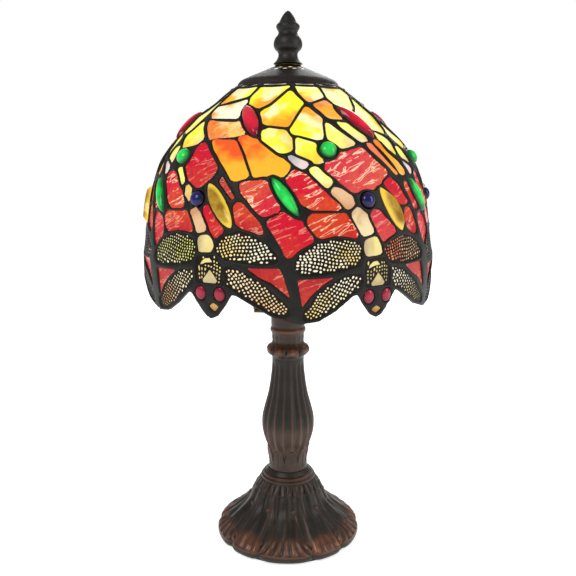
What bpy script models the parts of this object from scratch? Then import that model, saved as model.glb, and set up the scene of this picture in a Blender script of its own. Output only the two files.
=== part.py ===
"""Stained glass table lamp: a leaded dome shade hung on a harp, over a cast column and a lobed base.

Lengths below are millimetres, heights are z above the table, angles are degrees round the axis.
Angle 0 is the lamp's front (-Y) and angles grow towards +X.
"""

import math
from collections import Counter

import bmesh
import bpy
from mathutils import Vector
from mathutils.geometry import delaunay_2d_cdt

MM = 0.001
GAP = 0.3

# Base and column.
PAD_TOP = 1.2
RIM_BOTTOM = 1.5
BASE_TOP = 52.0
COLUMN_TOP = 172.0
FLUTES = 18
FLUTE_TURN = 7.0
FLUTE_DEPTH = 1.3
FLUTE_DEPTH_ENDS = 0.4
BASE_LOBES = 5
LOBE_TURN = -4.5
BROAD_LOBE = 44.0
LOBE_NOTCH = 2.4
PIPE_RADIUS = 4.85
PIPE_HOLE = 5.2
NUT_HOLE = 5.9
CORD_HEIGHT = 7.5

# Hardware over the column.
SADDLE_BOTTOM = COLUMN_TOP + GAP
SADDLE_THICK = 1.6
HARP_LEG_X = 22.0
HARP_LEG_BOTTOM = 180.0
HARP_WIRE = 1.6
SLEEVE_BOTTOM = SADDLE_BOTTOM + SADDLE_THICK + GAP
SLEEVE_TOP = SLEEVE_BOTTOM + 13.7
HARP_TOP = 338.2
SOCKET_BOTTOM = 174.2
SOCKET_SPLIT = 188.0
SOCKET_TOP = 222.0
KNOB_HEIGHT = 201.0
BULB_NECK = SOCKET_TOP + 0.7
BULB_TOP = 294.0
# (radius, distance below the top) of the bulb's glass.
BULB_SHAPE = [(12.8, 64), (16, 55), (21.5, 42), (23.8, 28), (21.5, 15), (14.5, 5)]

# Shade: the lead net lies on the glass, and the profile is the glass's outer face.
SECTORS = 6
GLASS_THICK = 1.8
NET_LIFT = 0.8
NET_THICK = 1.2
PANEL_GAP = 0.6
SHADE_TOP = 5.0
PANEL_MESH = 17.0
PANEL_ROWS = 11
GRID_CLEARANCE = 3.4
NET_MESH = 19.0
RIM_MESH = 12.0
RING_INSIDE = 40.0
JEWEL_CLEARANCE = 0.9
JEWEL_BACK = -2.2

# Cap and finial.
CAP_HEIGHT = 344.6
STUD_RADIUS = 3.1
STUD_TOP = 368.0
SEAT_BOTTOM = HARP_TOP + HARP_WIRE + GAP
SEAT_TOP = 343.0
FINIAL_BOTTOM = 346.2
FINIAL_TOP = 381.5

# (radius, height) from the shade's top down.
SHADE_PROFILE = [
    (33.5, 332), (42, 326), (51.8, 318), (61.8, 310), (69.9, 302), (77.6, 294), (84.1, 286), (88.8, 278),
    (91.7, 270), (94, 262), (96, 254), (98, 242), (100.4, 226), (101.5, 212), (100.9, 198), (99.5, 180),
]

# (angle, distance down the shade) of the two kinds of spiral lead line between the dragonfly sectors.
# They alternate round the shade, each kind at three places, KIND_TURN apart.
KIND_TURN = 120.0
SPIRALS = {
    "first": [
        (-61, 0), (-61, 14), (-59, 28), (-56.5, 38), (-51, 48), (-40, 62), (-29, 79), (-19, 98), (-10.5, 113),
        (-5, 128), (-2, 145), (1.5, 172),
    ],
    "second": [
        (1, 0), (3, 10), (8, 23), (13, 33), (25, 53), (36, 72), (46, 89), (52, 106), (56.5, 124),
        (58.5, 140), (60, 158), (61.5, 172),
    ],
}

# The angle of the dragonfly's head in the two kinds of sector, and the
# (angle from the head, distance down) of the scalloped rim under one dragonfly.
HEADS = {"first": 30.0, "second": 90.0}
RIM = [
    (-28.5, 172), (-22, 170.5), (-16, 164.5), (-10, 156), (-8, 155.5), (-5.5, 162), (-2.3, 169),
    (0, 170.8), (2.3, 169), (5.5, 162), (8, 155), (10, 155.5), (16, 161.5), (22, 167.5),
]

# The larger cut pieces of the two kinds of sector, which are the net's windows.
WINDOWS = {
    "first": [
        [(-58, 6.5), (-34, 6.5), (-32, 12), (-34, 18), (-56, 25)],
        [(-27.5, 6.5), (-3, 6.5), (-2, 9), (-15, 27), (-20, 30), (-28.5, 26)],
        [(-1, 13), (6.5, 27), (-3, 48.5), (-13, 47), (-16, 34)],
        [(-54, 29), (-34, 22), (-31, 41), (-50, 40)],
        [(-48, 44), (-30, 44.5), (-23, 55), (-38, 58)],
        [(8.5, 31), (15.5, 39), (13, 56), (9, 59.5), (-1, 53)],
        [(-12, 50), (-4, 52), (-1, 67), (-6, 69), (-14, 59.5)],
        [(-37.5, 60.5), (-17, 59), (-2.5, 78), (-5, 81.5), (-22, 85.5)],
        [(17.5, 45.5), (28, 62), (22, 65), (16, 57)],
        [(12, 80), (20, 71.5), (30, 67), (39, 82), (34, 89), (23.5, 92.5)],
        [(0, 81.5), (15.5, 103.5), (6, 104), (-1.5, 86)],
        [(-19.5, 89.5), (-12, 87), (-6, 104), (-12, 106)],
        [(-4, 108), (3, 115), (6, 123), (-2.5, 131), (-9.5, 111)],
        [(6.5, 107.5), (17.5, 108.5), (22, 121), (9, 121)],
        [(46.5, 106), (49.5, 105.5), (52, 115), (52.5, 120), (48, 117.5)],
    ],
    "second": [
        [(4, 6.5), (24, 6.5), (25, 18), (12, 25), (5, 15)],
        [(31, 7), (56, 6.5), (57, 14), (40, 32), (30, 27), (28, 14)],
        [(14.5, 27), (25, 23), (28, 38), (26.5, 41.5), (20, 39.5)],
        [(57, 19), (61, 30), (55, 51), (46, 48), (43, 34)],
        [(24, 44), (31, 46.5), (36, 60), (32, 60.5)],
        [(66, 46), (75, 59), (69, 64), (60, 56)],
        [(46, 56), (51.5, 57), (54, 69), (49.5, 67)],
        [(35, 64), (43, 64), (51, 81), (45.5, 84)],
        [(76, 70), (80, 65), (88, 80), (82.5, 89.5), (73, 79)],
        [(61, 84), (67, 83), (76, 103), (68, 104)],
        [(66.5, 108), (78, 107.5), (81, 118), (68, 119)],
        [(55.5, 108), (62, 114), (64.5, 122), (59.5, 130)],
    ],
}

# Windows that every sector repeats, with angles from the head: wings and the red pieces between them.
SHARED_WINDOWS = [
    [(-29, 133), (-24, 127.5), (-17, 122.5), (-7, 125), (-5.5, 131), (-7, 136), (-21, 141.5)],
    [(3.5, 127), (8, 122.5), (13, 121.5), (19, 124.5), (24, 133), (17, 136.5), (5.5, 134.5)],
    [(-7, 143), (-10, 143), (-19, 152), (-26, 165), (-21, 166.5), (-13, 158), (-7, 149)],
    [(6.5, 137), (13, 143), (22, 157), (27, 166), (20, 163), (9.5, 152)],
    [(-28, 145), (-16, 144.5), (-23, 153), (-27.5, 160)],
    [(14.5, 138.5), (25.5, 138), (27.5, 155), (21.5, 146.5)],
]

# Jewels: (name, kind of sector, angle, distance down, length, width, tilt from upright, height).
JEWELS = [
    ("red_oval_jewel", "first", -22.5, 43.0, 31.0, 9.6, 27.5, 4.2),
    ("green_round_jewel", "first", 14.0, 67.5, 10.6, 10.6, 0.0, 4.6),
    ("green_marquise_jewel", "first", -3.5, 96.5, 27.5, 7.6, 34.5, 3.8),
    ("blue_round_jewel", "first", 27.3, 99.3, 10.0, 10.0, 0.0, 4.6),
    ("gold_marquise_jewel", "first", 39.0, 105.3, 31.0, 9.4, 31.0, 4.2),
    ("red_oval_jewel", "second", 36.5, 44.0, 31.0, 9.6, 27.5, 4.2),
    ("green_round_jewel", "second", 68.5, 72.0, 10.6, 10.6, 0.0, 4.6),
    ("green_marquise_jewel", "second", 58.5, 97.5, 27.5, 7.6, 34.5, 3.8),
    ("blue_round_jewel", "second", 82.8, 98.8, 10.0, 10.0, 0.0, 4.6),
    ("gold_marquise_jewel", "second", 92.3, 102.2, 31.0, 9.4, 34.0, 4.2),
]

# name: (red, green, blue), roughness, metallic, transmission.
FINISHES = {
    "dark_bronze": ((0.060, 0.045, 0.036), 0.42, 0.85, 0.0),
    "cap_bronze": ((0.035, 0.025, 0.025), 0.40, 0.80, 0.0),
    "lead": ((0.030, 0.034, 0.031), 0.45, 0.70, 0.0),
    "brass": ((0.62, 0.44, 0.18), 0.32, 1.0, 0.0),
    "steel": ((0.52, 0.52, 0.53), 0.38, 1.0, 0.0),
    "felt": ((0.020, 0.055, 0.035), 0.95, 0.0, 0.0),
    "rubber": ((0.015, 0.015, 0.015), 0.70, 0.0, 0.0),
    "card": ((0.55, 0.42, 0.28), 0.85, 0.0, 0.0),
    "bakelite": ((0.025, 0.020, 0.018), 0.30, 0.0, 0.0),
    "bulb_glass": ((0.95, 0.93, 0.86), 0.20, 0.0, 0.6),
    "art_glass": ((0.80, 0.25, 0.10), 0.22, 0.0, 0.3),
    "red_oval_jewel": ((0.75, 0.02, 0.05), 0.06, 0.0, 0.5),
    "green_round_jewel": ((0.02, 0.50, 0.12), 0.06, 0.0, 0.5),
    "green_marquise_jewel": ((0.02, 0.62, 0.16), 0.06, 0.0, 0.5),
    "blue_round_jewel": ((0.02, 0.02, 0.22), 0.06, 0.0, 0.5),
    "gold_marquise_jewel": ((0.62, 0.36, 0.04), 0.06, 0.0, 0.5),
}


def clear_scene():
    for obj in list(bpy.data.objects):
        bpy.data.objects.remove(obj)


def material(finish):
    found = bpy.data.materials.get(finish)
    if found:
        return found
    colour, roughness, metallic, transmission = FINISHES[finish]
    made = bpy.data.materials.new(finish)
    made.use_nodes = True
    shader = made.node_tree.nodes["Principled BSDF"]
    shader.inputs["Base Color"].default_value = (*colour, 1)
    shader.inputs["Roughness"].default_value = roughness
    shader.inputs["Metallic"].default_value = metallic
    shader.inputs["Transmission Weight"].default_value = transmission
    made.diffuse_color = (*colour, 1)
    return made


def add_mesh(name, points, faces, finish, origin=(0, 0, 0), smooth=35):
    """One closed object from points in millimetres, with its origin where its joint axis is."""
    centre = Vector(origin)
    mesh = bpy.data.meshes.new(name)
    mesh.from_pydata([(Vector(p) - centre) * MM for p in points], [], faces)
    bm = bmesh.new()
    bm.from_mesh(mesh)
    bmesh.ops.recalc_face_normals(bm, faces=bm.faces)
    bm.to_mesh(mesh)
    bm.free()
    mesh.shade_smooth()
    mesh.set_sharp_from_angle(angle=math.radians(smooth))
    mesh.materials.append(material(finish))
    obj = bpy.data.objects.new(name, mesh)
    obj.location = centre * MM
    bpy.context.collection.objects.link(obj)
    return obj


def turned(name, profile, finish, segments=24, angles=None, shape=None, origin=(0, 0, 0), smooth=35):
    """A solid of revolution: profile is a closed loop of (radius, height), and radius 0 makes a pole.

    shape(angle, radius, height) may change a radius to make flutes or lobes.
    """
    angles = angles or [360 * i / segments for i in range(segments)]
    points, rings = [], []
    for radius, height in profile:
        around = [0.0] if radius == 0 else angles
        ring = []
        for angle in around:
            r = shape(angle, radius, height) if shape and radius else radius
            ring.append(len(points))
            points.append((r * math.sin(math.radians(angle)), -r * math.cos(math.radians(angle)), height))
        rings.append(ring)
    faces = []
    for i, upper in enumerate(rings):
        lower = rings[(i + 1) % len(rings)]
        if len(upper) == 1 and len(lower) == 1:
            continue
        for k in range(len(angles)):
            j = (k + 1) % len(angles)
            above = [upper[k % len(upper)], upper[j % len(upper)]]
            below = [lower[j % len(lower)], lower[k % len(lower)]]
            faces.append(list(dict.fromkeys(above + below)))
    return add_mesh(name, points, faces, finish, origin, smooth)


def tube(name, inner, outer, bottom, top, finish, segments=24):
    return turned(name, [(outer, bottom), (outer, top), (inner, top), (inner, bottom)], finish, segments)


# ---- The shade's surface, in (angle, distance down) ----

def shade_distances():
    distances = [0.0]
    for (r0, z0), (r1, z1) in zip(SHADE_PROFILE, SHADE_PROFILE[1:]):
        distances.append(distances[-1] + math.hypot(r1 - r0, z1 - z0))
    return distances


SHADE_DISTANCES = shade_distances()


def on_profile(distance):
    """(radius, height) and the outward normal's (radius, height) parts at this distance down the shade."""
    last = len(SHADE_PROFILE) - 2
    i = next((n for n in range(last) if distance < SHADE_DISTANCES[n + 1]), last)
    (r0, z0), (r1, z1) = SHADE_PROFILE[i], SHADE_PROFILE[i + 1]
    span = SHADE_DISTANCES[i + 1] - SHADE_DISTANCES[i]
    part = (distance - SHADE_DISTANCES[i]) / span
    return r0 + (r1 - r0) * part, z0 + (z1 - z0) * part, (z0 - z1) / span, (r1 - r0) / span


def on_shade(angle, distance, lift=0.0):
    radius, height, normal_r, normal_z = on_profile(distance)
    out = radius + lift * normal_r
    turn = math.radians(angle)
    return Vector((out * math.sin(turn), -out * math.cos(turn), height + lift * normal_z))


def spiral_at(kind, distance):
    line = SPIRALS[kind]
    for (a0, s0), (a1, s1) in zip(line, line[1:]):
        if distance <= s1:
            return a0 + (a1 - a0) * (distance - s0) / (s1 - s0)
    return line[-1][0]


def sector_kind(sector):
    """Even sectors lie between a first and a second spiral line, odd ones between a second and a first."""
    return "first" if sector % 2 == 0 else "second"


def sector_turn(sector):
    return KIND_TURN * (sector // 2)


def head_angle(sector):
    return sector_turn(sector) + HEADS[sector_kind(sector)]


def jewel_shape(length, width, tilt, clearance=0.0, points=8):
    """(sideways, down) points round a jewel: a circle, or two arcs that meet in a tip at either end."""
    lean = math.radians(tilt)
    shape = []
    for i in range(points):
        turn = 2 * math.pi * i / points
        along = math.cos(turn) * (length / 2 + clearance)
        bulge = math.sin(turn) if length == width else math.copysign(math.sin(turn) ** 2, math.sin(turn))
        across = bulge * (width / 2 + clearance)
        sideways = along * math.sin(lean) - across * math.cos(lean)
        shape.append((sideways, along * math.cos(lean) + across * math.sin(lean)))
    return shape


def jewel_hole(angle, distance, length, width, tilt):
    """(angle, distance) points of the hole that a jewel stands in."""
    hole = []
    for sideways, down in jewel_shape(length, width, tilt, JEWEL_CLEARANCE):
        place = distance + down
        hole.append((angle + math.degrees(sideways / on_profile(place)[0]), place))
    return hole


def shifted(outline, turn):
    return [(angle + turn, distance) for angle, distance in outline]


def subdivided(outline, longest):
    """The closed outline with no edge longer than this on the shade."""
    result = []
    for (a0, s0), (a1, s1) in zip(outline, outline[1:] + outline[:1]):
        turn = (a1 - a0 + 180) % 360 - 180
        parts = max(1, math.ceil((on_shade(a1, s1) - on_shade(a0, s0)).length / longest))
        result += [(a0 + turn * i / parts, s0 + (s1 - s0) * i / parts) for i in range(parts)]
    return result


def flat(angle, distance):
    """The same point on a flat ring, where outlines that go right round the shade can be triangulated."""
    turn = math.radians(angle)
    return Vector((math.sin(turn), -math.cos(turn))) * (distance + RING_INSIDE)


def unflat(point):
    return math.degrees(math.atan2(point.x, -point.y)), point.length - RING_INSIDE


def inside(point, loops):
    """Whether the flat point is inside by the even-odd rule over all loops."""
    x, y = point
    odd = False
    for loop in loops:
        for p, q in zip(loop, loop[1:] + loop[:1]):
            if (p.y > y) != (q.y > y) and x < p.x + (q.x - p.x) * (y - p.y) / (q.y - p.y):
                odd = not odd
    return odd


def clear_of(point, loops, margin):
    for loop in loops:
        for p, q in zip(loop, loop[1:] + loop[:1]):
            edge = q - p
            along = max(0.0, min(1.0, (point - p).dot(edge) / max(edge.length_squared, 1e-9)))
            if (p + edge * along - point).length < margin:
                return False
    return True


def curved_plate(name, outlines, low, high, finish, grid=()):
    """A plate on the shade between two lifts: outlines are its edges and holes, grid adds inner points."""
    loops = [[flat(*p) for p in outline] for outline in outlines]
    points = [p for loop in loops for p in loop]
    edges, start = [], 0
    for loop in loops:
        edges += [(start + i, start + (i + 1) % len(loop)) for i in range(len(loop))]
        start += len(loop)
    inner = [flat(*p) for p in grid]
    points += [p for p in inner if inside(p, loops) and clear_of(p, loops, GRID_CLEARANCE)]
    corners, _, triangles, *_ = delaunay_2d_cdt(points, edges, [], 0, 1e-5)
    kept = [t for t in triangles if inside(sum((corners[i] for i in t), Vector((0, 0))) / 3, loops)]
    places = [unflat(p) for p in corners]
    used = sorted({i for t in kept for i in t})
    number = {old: new for new, old in enumerate(used)}
    count = len(used)
    top = [on_shade(*places[i], high) for i in used]
    bottom = [on_shade(*places[i], low) for i in used]
    faces, sides = [], Counter()
    for t in kept:
        a, b, c = sorted(number[i] for i in t)
        faces += [(a, b, c), (c + count, b + count, a + count)]
        sides.update([(a, b), (b, c), (a, c)])
    faces += [(q, p, p + count, q + count) for (p, q), uses in sides.items() if uses == 1]
    return add_mesh(name, top + bottom, faces, finish, smooth=40)


def spiral_below_top(kind):
    return [(spiral_at(kind, SHADE_TOP), SHADE_TOP)] + [p for p in SPIRALS[kind] if p[1] >= SHADE_TOP]


def panel_outline(sector):
    """One sector between its two spiral lines, down to the rim."""
    kind = sector_kind(sector)
    other = "second" if kind == "first" else "first"
    left_turn = PANEL_GAP / 2
    right_turn = (0 if kind == "first" else KIND_TURN) - left_turn
    left = shifted(spiral_below_top(kind), left_turn)
    right = shifted(spiral_below_top(other), right_turn)
    rim = shifted(RIM[1:], HEADS[kind])
    return shifted(left + rim + right[::-1], sector_turn(sector))


def sector_jewels(sector):
    return [jewel for jewel in JEWELS if jewel[1] == sector_kind(sector)]


def jewel_holes(sector):
    holes = []
    for _, _, angle, distance, length, width, tilt, _ in sector_jewels(sector):
        holes.append(jewel_hole(angle + sector_turn(sector), distance, length, width, tilt))
    return holes


def panel_grid():
    grid = []
    for row in range(1, PANEL_ROWS + 1):
        distance = SHADE_TOP + row * PANEL_MESH
        count = round(2 * math.pi * on_profile(distance)[0] / PANEL_MESH)
        grid += [(360 * (i + 0.5 * (row % 2)) / count, distance) for i in range(count)]
    return grid


def make_panels():
    """Each sector's cut pieces as one curved panel, with holes for its jewels."""
    grid = panel_grid()
    for sector in range(SECTORS):
        outlines = [subdivided(panel_outline(sector), PANEL_MESH)] + jewel_holes(sector)
        curved_plate(f"glass_panel_{sector + 1}", outlines, -GLASS_THICK, 0, "art_glass", grid)


def make_net():
    """The lead net over the glass, in one piece, with a window for each larger cut piece."""
    rim = []
    for sector in range(SECTORS):
        rim += shifted(RIM, head_angle(sector))
    top = [(10 * i, SHADE_TOP - 1) for i in range(36)]
    outlines = [subdivided(rim, RIM_MESH), top]
    for sector in range(SECTORS):
        windows = shifted_windows(sector)
        outlines += [subdivided(window, NET_MESH) for window in windows] + jewel_holes(sector)
    curved_plate("shade_lattice", outlines, NET_LIFT, NET_LIFT + NET_THICK, "lead", panel_grid())


def shifted_windows(sector):
    own = [shifted(window, sector_turn(sector)) for window in WINDOWS[sector_kind(sector)]]
    shared = [shifted(window, head_angle(sector)) for window in SHARED_WINDOWS]
    return own + shared


def make_jewels():
    for sector in range(SECTORS):
        for name, _, angle, distance, length, width, tilt, height in sector_jewels(sector):
            turn = sector_turn(sector)
            make_jewel(f"{name}_{sector + 1}", name, angle + turn, distance, length, width, tilt, height)


def make_jewel(name, finish, angle, distance, length, width, tilt, height):
    """A pressed glass jewel: flat back, upright girdle, bevel and a smaller flat table."""
    centre = on_shade(angle, distance)
    across = (on_shade(angle + 0.1, distance) - on_shade(angle - 0.1, distance)).normalized()
    down = (on_shade(angle, distance + 0.1) - on_shade(angle, distance - 0.1)).normalized()
    out = down.cross(across)
    shape = jewel_shape(length, width, tilt)
    points, faces = [], []
    girdle_low, girdle_high = JEWEL_BACK + 0.8, 1.4
    for size, lift in ((0.93, JEWEL_BACK), (1.0, girdle_low), (1.0, girdle_high), (0.62, height)):
        points += [centre + across * (x * size) + down * (y * size) + out * lift for x, y in shape]
    sides = len(shape)
    for low in range(0, 3 * sides, sides):
        for i in range(sides):
            j = (i + 1) % sides
            faces.append((low + i, low + j, low + sides + j, low + sides + i))
    faces += [tuple(range(sides)), tuple(range(3 * sides, 4 * sides))]
    return add_mesh(name, points, faces, finish, smooth=20)


# ---- Base and column ----

def lobe_angles():
    """Angles round the base: 6 steps in each broad lobe and 4 in each narrow one."""
    period = 360 / BASE_LOBES
    narrow = period - BROAD_LOBE
    angles = []
    for lobe in range(BASE_LOBES):
        start = LOBE_TURN + lobe * period - BROAD_LOBE / 2
        angles += [start + BROAD_LOBE * i / 6 for i in range(6)]
        angles += [start + BROAD_LOBE + narrow * i / 4 for i in range(4)]
    return angles


def lobed(angle, radius, height):
    """The radius of the base's skin: broad and narrow lobes that fade out up the cone."""
    period = 360 / BASE_LOBES
    place = (angle - LOBE_TURN + BROAD_LOBE / 2) % period
    part = place / BROAD_LOBE if place < BROAD_LOBE else (place - BROAD_LOBE) / (period - BROAD_LOBE)
    fade = max(0.0, min(1.0, (34 - height) / 26))
    return radius - LOBE_NOTCH * fade * (1 - math.sin(math.pi * part))


def make_base():
    skin = [
        (14.7, BASE_TOP), (19, 46), (23.1, 40), (26.4, 35), (29.7, 28), (35.3, 22),
        (42.7, 16), (49.6, 11), (53.5, 6.5), (54.1, 4), (53.2, RIM_BOTTOM),
    ]
    hollow = [
        (48.2, RIM_BOTTOM), (48.2, 3.6), (44.8, 3.6), (33, 14), (22, 25.5), (14, 38.1), (PIPE_HOLE, 38.1),
    ]
    profile = skin + hollow + [(PIPE_HOLE, BASE_TOP)]
    base = turned("base_casting", profile, "dark_bronze", angles=lobe_angles(),
                  shape=lambda a, r, z: lobed(a, r, z) if (r, z) in skin else r)
    cutter = turned("cord_hole_cutter", [(0, 40), (3.7, 40), (3.7, 60), (0, 60)], "dark_bronze", 12)
    cutter.rotation_euler = (math.radians(-90), 0, 0)
    cutter.location = (0, 0, CORD_HEIGHT * MM)
    hide_cutter(cutter)
    cut = base.modifiers.new("cord_hole", "BOOLEAN")
    cut.operation = "DIFFERENCE"
    cut.object = cutter
    tube("base_cover_plate", 11, 47.7, RIM_BOTTOM + 0.1, 3.3, "steel", 24)
    turned("felt_pad", [(0, 0), (50, 0), (50, PAD_TOP), (0, PAD_TOP)], "felt", 30)


def hide_cutter(cutter):
    cutter.hide_render = True
    cutter.display_type = "WIRE"


def make_bushing():
    """The rubber bushing that lines the cord's hole at the back of the base."""
    profile = [(2.4, 41), (3.4, 41), (3.4, 54.6), (4.8, 54.6), (4.8, 56.5), (2.4, 56.5)]
    bushing = turned("cord_bushing", profile, "rubber", 12)
    bushing.rotation_euler = (math.radians(-90), 0, 0)
    bushing.location = (0, 0, CORD_HEIGHT * MM)


def fluted(angle, radius, height):
    """Flutes down the column's body, and lobes round its big ring."""
    if radius <= PIPE_HOLE:
        return radius
    crest = 0.5 + 0.5 * math.cos(math.radians(FLUTES * (angle - FLUTE_TURN)))
    on_body, on_big_ring = 64 < height < 139, 141 < height < 147
    depth = FLUTE_DEPTH if on_body or on_big_ring else FLUTE_DEPTH_ENDS
    return radius - depth * (1 - crest)


def make_column():
    profile = [
        (PIPE_HOLE, BASE_TOP + GAP), (14.4, BASE_TOP + GAP), (13.75, 58), (14.5, 64), (15.6, 69), (18.1, 76),
        (19.65, 84), (19.65, 92), (17.6, 100), (14.9, 110), (12.9, 122), (11.9, 132), (11.9, 138), (14.2, 140.2),
        (15.8, 142), (15.8, 144.5), (11.85, 149), (12, 156), (12.8, 158.5), (12.4, 161), (12.4, COLUMN_TOP),
        (PIPE_HOLE, COLUMN_TOP),
    ]
    angles = [FLUTE_TURN + 180 * i / FLUTES for i in range(2 * FLUTES)]
    turned("column", profile, "dark_bronze", angles=angles, shape=fluted)


def make_pipe():
    tube("lamp_pipe", 3.5, PIPE_RADIUS, 27, SOCKET_BOTTOM + 7, "steel", 16)
    tube("lock_washer", PIPE_HOLE, 9.5, 36.3, 37.8, "steel", 16)
    hexagon = [(NUT_HOLE, 31), (9.4, 31), (9.4, 36), (NUT_HOLE, 36)]
    turned("pipe_nut", hexagon, "brass", 6, smooth=20)


# ---- Harp, lampholder and bulb ----

def make_saddle():
    """A flat bar over the column with a post at each end, which the harp's sleeves slip over."""
    top = SADDLE_BOTTOM + SADDLE_THICK
    half_x, half_y = HARP_LEG_X + 3, 5.0
    corners = [(-half_x, -half_y), (0, -9), (half_x, -half_y), (half_x, half_y), (0, 9), (-half_x, half_y)]
    bar = [(x, y, z) for z in (SADDLE_BOTTOM, top) for x, y in corners]
    faces = [(0, 1, 2, 3, 4, 5), (6, 7, 8, 9, 10, 11)]
    faces += [(i, (i + 1) % 6, (i + 1) % 6 + 6, i + 6) for i in range(6)]
    saddle = add_mesh("harp_saddle", bar, faces, "brass")
    low, high = SADDLE_BOTTOM - 2, top + 2
    hole = turned("saddle_hole", [(0, low), (PIPE_HOLE, low), (PIPE_HOLE, high), (0, high)], "brass", 12)
    joined = [("DIFFERENCE", hole)]
    for side in (-1, 1):
        post_low, post_high = SADDLE_BOTTOM + 0.4, HARP_LEG_BOTTOM - GAP
        profile = [(0, post_low), (HARP_WIRE, post_low), (HARP_WIRE, post_high), (0, post_high)]
        post = turned(f"saddle_post_{side}", profile, "brass", 8)
        post.location.x = side * HARP_LEG_X * MM
        joined.append(("UNION", post))
    for operation, tool in joined:
        hide_cutter(tool)
        step = saddle.modifiers.new(tool.name, "BOOLEAN")
        step.operation = operation
        step.object = tool


def make_harp():
    """The wire loop, a threaded stud with its seat on top, and a sleeve on each leg."""
    half = [
        (HARP_LEG_X, HARP_LEG_BOTTOM), (HARP_LEG_X, 198), (22.6, 204), (29, 221), (33.5, 245), (33, 280),
        (27, 315), (14, 333),
    ]
    path = half + [(0, HARP_TOP)] + [(-x, z) for x, z in reversed(half)]
    curve = bpy.data.curves.new("harp", "CURVE")
    curve.dimensions = "3D"
    curve.bevel_depth = HARP_WIRE * MM
    curve.bevel_resolution = 1
    curve.resolution_u = 3
    curve.use_fill_caps = True
    spline = curve.splines.new("BEZIER")
    spline.bezier_points.add(len(path) - 1)
    for point, (x, z) in zip(spline.bezier_points, path):
        point.co = Vector((x, 0, z)) * MM
        point.handle_left_type = "AUTO"
        point.handle_right_type = "AUTO"
    curve.materials.append(material("brass"))
    bpy.context.collection.objects.link(bpy.data.objects.new("harp", curve))
    stud = [
        (0, SEAT_BOTTOM), (6, SEAT_BOTTOM), (6, SEAT_TOP), (STUD_RADIUS, SEAT_TOP), (STUD_RADIUS, STUD_TOP - 0.8),
        (2.4, STUD_TOP), (0, STUD_TOP),
    ]
    turned("harp_stud", stud, "brass", 12)
    for side, name in ((-1, "left"), (1, "right")):
        sleeve = [(2.0, SLEEVE_BOTTOM), (3.5, SLEEVE_BOTTOM), (3.5, SLEEVE_TOP), (2.0, SLEEVE_TOP)]
        turned(f"harp_sleeve_{name}", sleeve, "brass", 12).location.x = side * HARP_LEG_X * MM


def make_lampholder():
    low = SOCKET_BOTTOM
    cup = [
        (PIPE_HOLE, SOCKET_BOTTOM), (8.5, SOCKET_BOTTOM), (12, low + 1.8), (17.5, low + 7.3), (17.5, SOCKET_SPLIT),
        (16.5, SOCKET_SPLIT), (16.5, low + 7.8), (11.4, low + 3), (PIPE_HOLE, low + 1.8),
    ]
    turned("socket_cap", cup, "brass", 20)
    low = SOCKET_SPLIT + GAP
    shell = [(4, low), (17.2, low), (17.2, SOCKET_TOP), (16.2, SOCKET_TOP), (16.2, low + 1.5), (4, low + 1.5)]
    turned("socket_shell", shell, "brass", 20)
    tube("socket_liner", 14.8, 15.8, low + 1.9, SOCKET_TOP - 2, "card", 20)
    knob = [(0, 17.6), (2.2, 17.6), (2.2, 21), (4.6, 21.5), (5.2, 29), (4.4, 30), (0, 30)]
    switch = turned("switch_knob", knob, "bakelite", 12)
    switch.rotation_euler = (math.radians(90), 0, 0)
    switch.location = (0, 0, KNOB_HEIGHT * MM)


def make_bulb():
    tip, neck = SOCKET_BOTTOM + 19.8, BULB_NECK - GAP
    base = [
        (0, tip), (3.5, tip), (5, tip + 2.5), (12.6, tip + 4), (13.1, tip + 6), (13.1, neck - 1.3),
        (12.4, neck), (0, neck),
    ]
    turned("bulb_base", base, "brass", 16)
    skin = [(12.4, BULB_NECK)] + [(r, BULB_TOP - down) for r, down in BULB_SHAPE] + [(0, BULB_TOP)]
    inner = [(0, BULB_TOP - 1)] + [(r - 0.9, z) for r, z in reversed(skin[:-1])]
    turned("bulb_glass", skin + inner, "bulb_glass", 16)


# ---- Cap and finial ----

def make_cap():
    skin = [(3.9, CAP_HEIGHT), (12.3, 344.5), (19.2, 341.5), (28.9, 337), (33.3, 334), (35.4, 331), (35.9, 329.6)]
    lining = [(34.7, 329.6), (34.2, 331), (32.3, 333.2), (28.3, 335.8), (12, 343.2), (3.9, 343.4)]
    turned("top_cap", skin + lining, "cap_bronze", 30)
    tube("crown_ring", 33.2, 34.9, 327.3, 329.3, "brass", 24)


def make_finial():
    tube("finial_washer", 3.6, 9.2, CAP_HEIGHT + GAP, FINIAL_BOTTOM - GAP, "brass", 16)
    skin = [
        (10.2, FINIAL_BOTTOM), (9.2, 347.5), (7.3, 350.5), (6.7, 353.5), (7.6, 355), (9.8, 357.5), (9.7, 361),
        (8.3, 364), (6.6, 367), (7.9, 370), (7.9, 371.5), (6.4, 374.3), (5.2, 376), (3, 379), (0, FINIAL_TOP),
    ]
    bore = [(0, 371), (3.5, 369.5), (3.5, FINIAL_BOTTOM)]
    turned("finial", skin + bore, "dark_bronze", 16)


def main():
    clear_scene()
    make_base()
    make_bushing()
    make_column()
    make_pipe()
    make_saddle()
    make_harp()
    make_lampholder()
    make_bulb()
    make_panels()
    make_net()
    make_jewels()
    make_cap()
    make_finial()


main()
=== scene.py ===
"""Looks of the stained glass table lamp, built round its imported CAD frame.

Lengths below are millimetres, heights are z above the table, angles are degrees round the lamp's axis.
Angle 0 is the lamp's front (-Y) and angles grow towards +X. A place on the shade is (angle, distance
down the shade's profile from its top edge).
"""

import math
import random
from collections import Counter

import bmesh
import bpy
import numpy as np
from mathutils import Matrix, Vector
from mathutils.geometry import delaunay_2d_cdt
from mathutils.kdtree import KDTree

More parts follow.
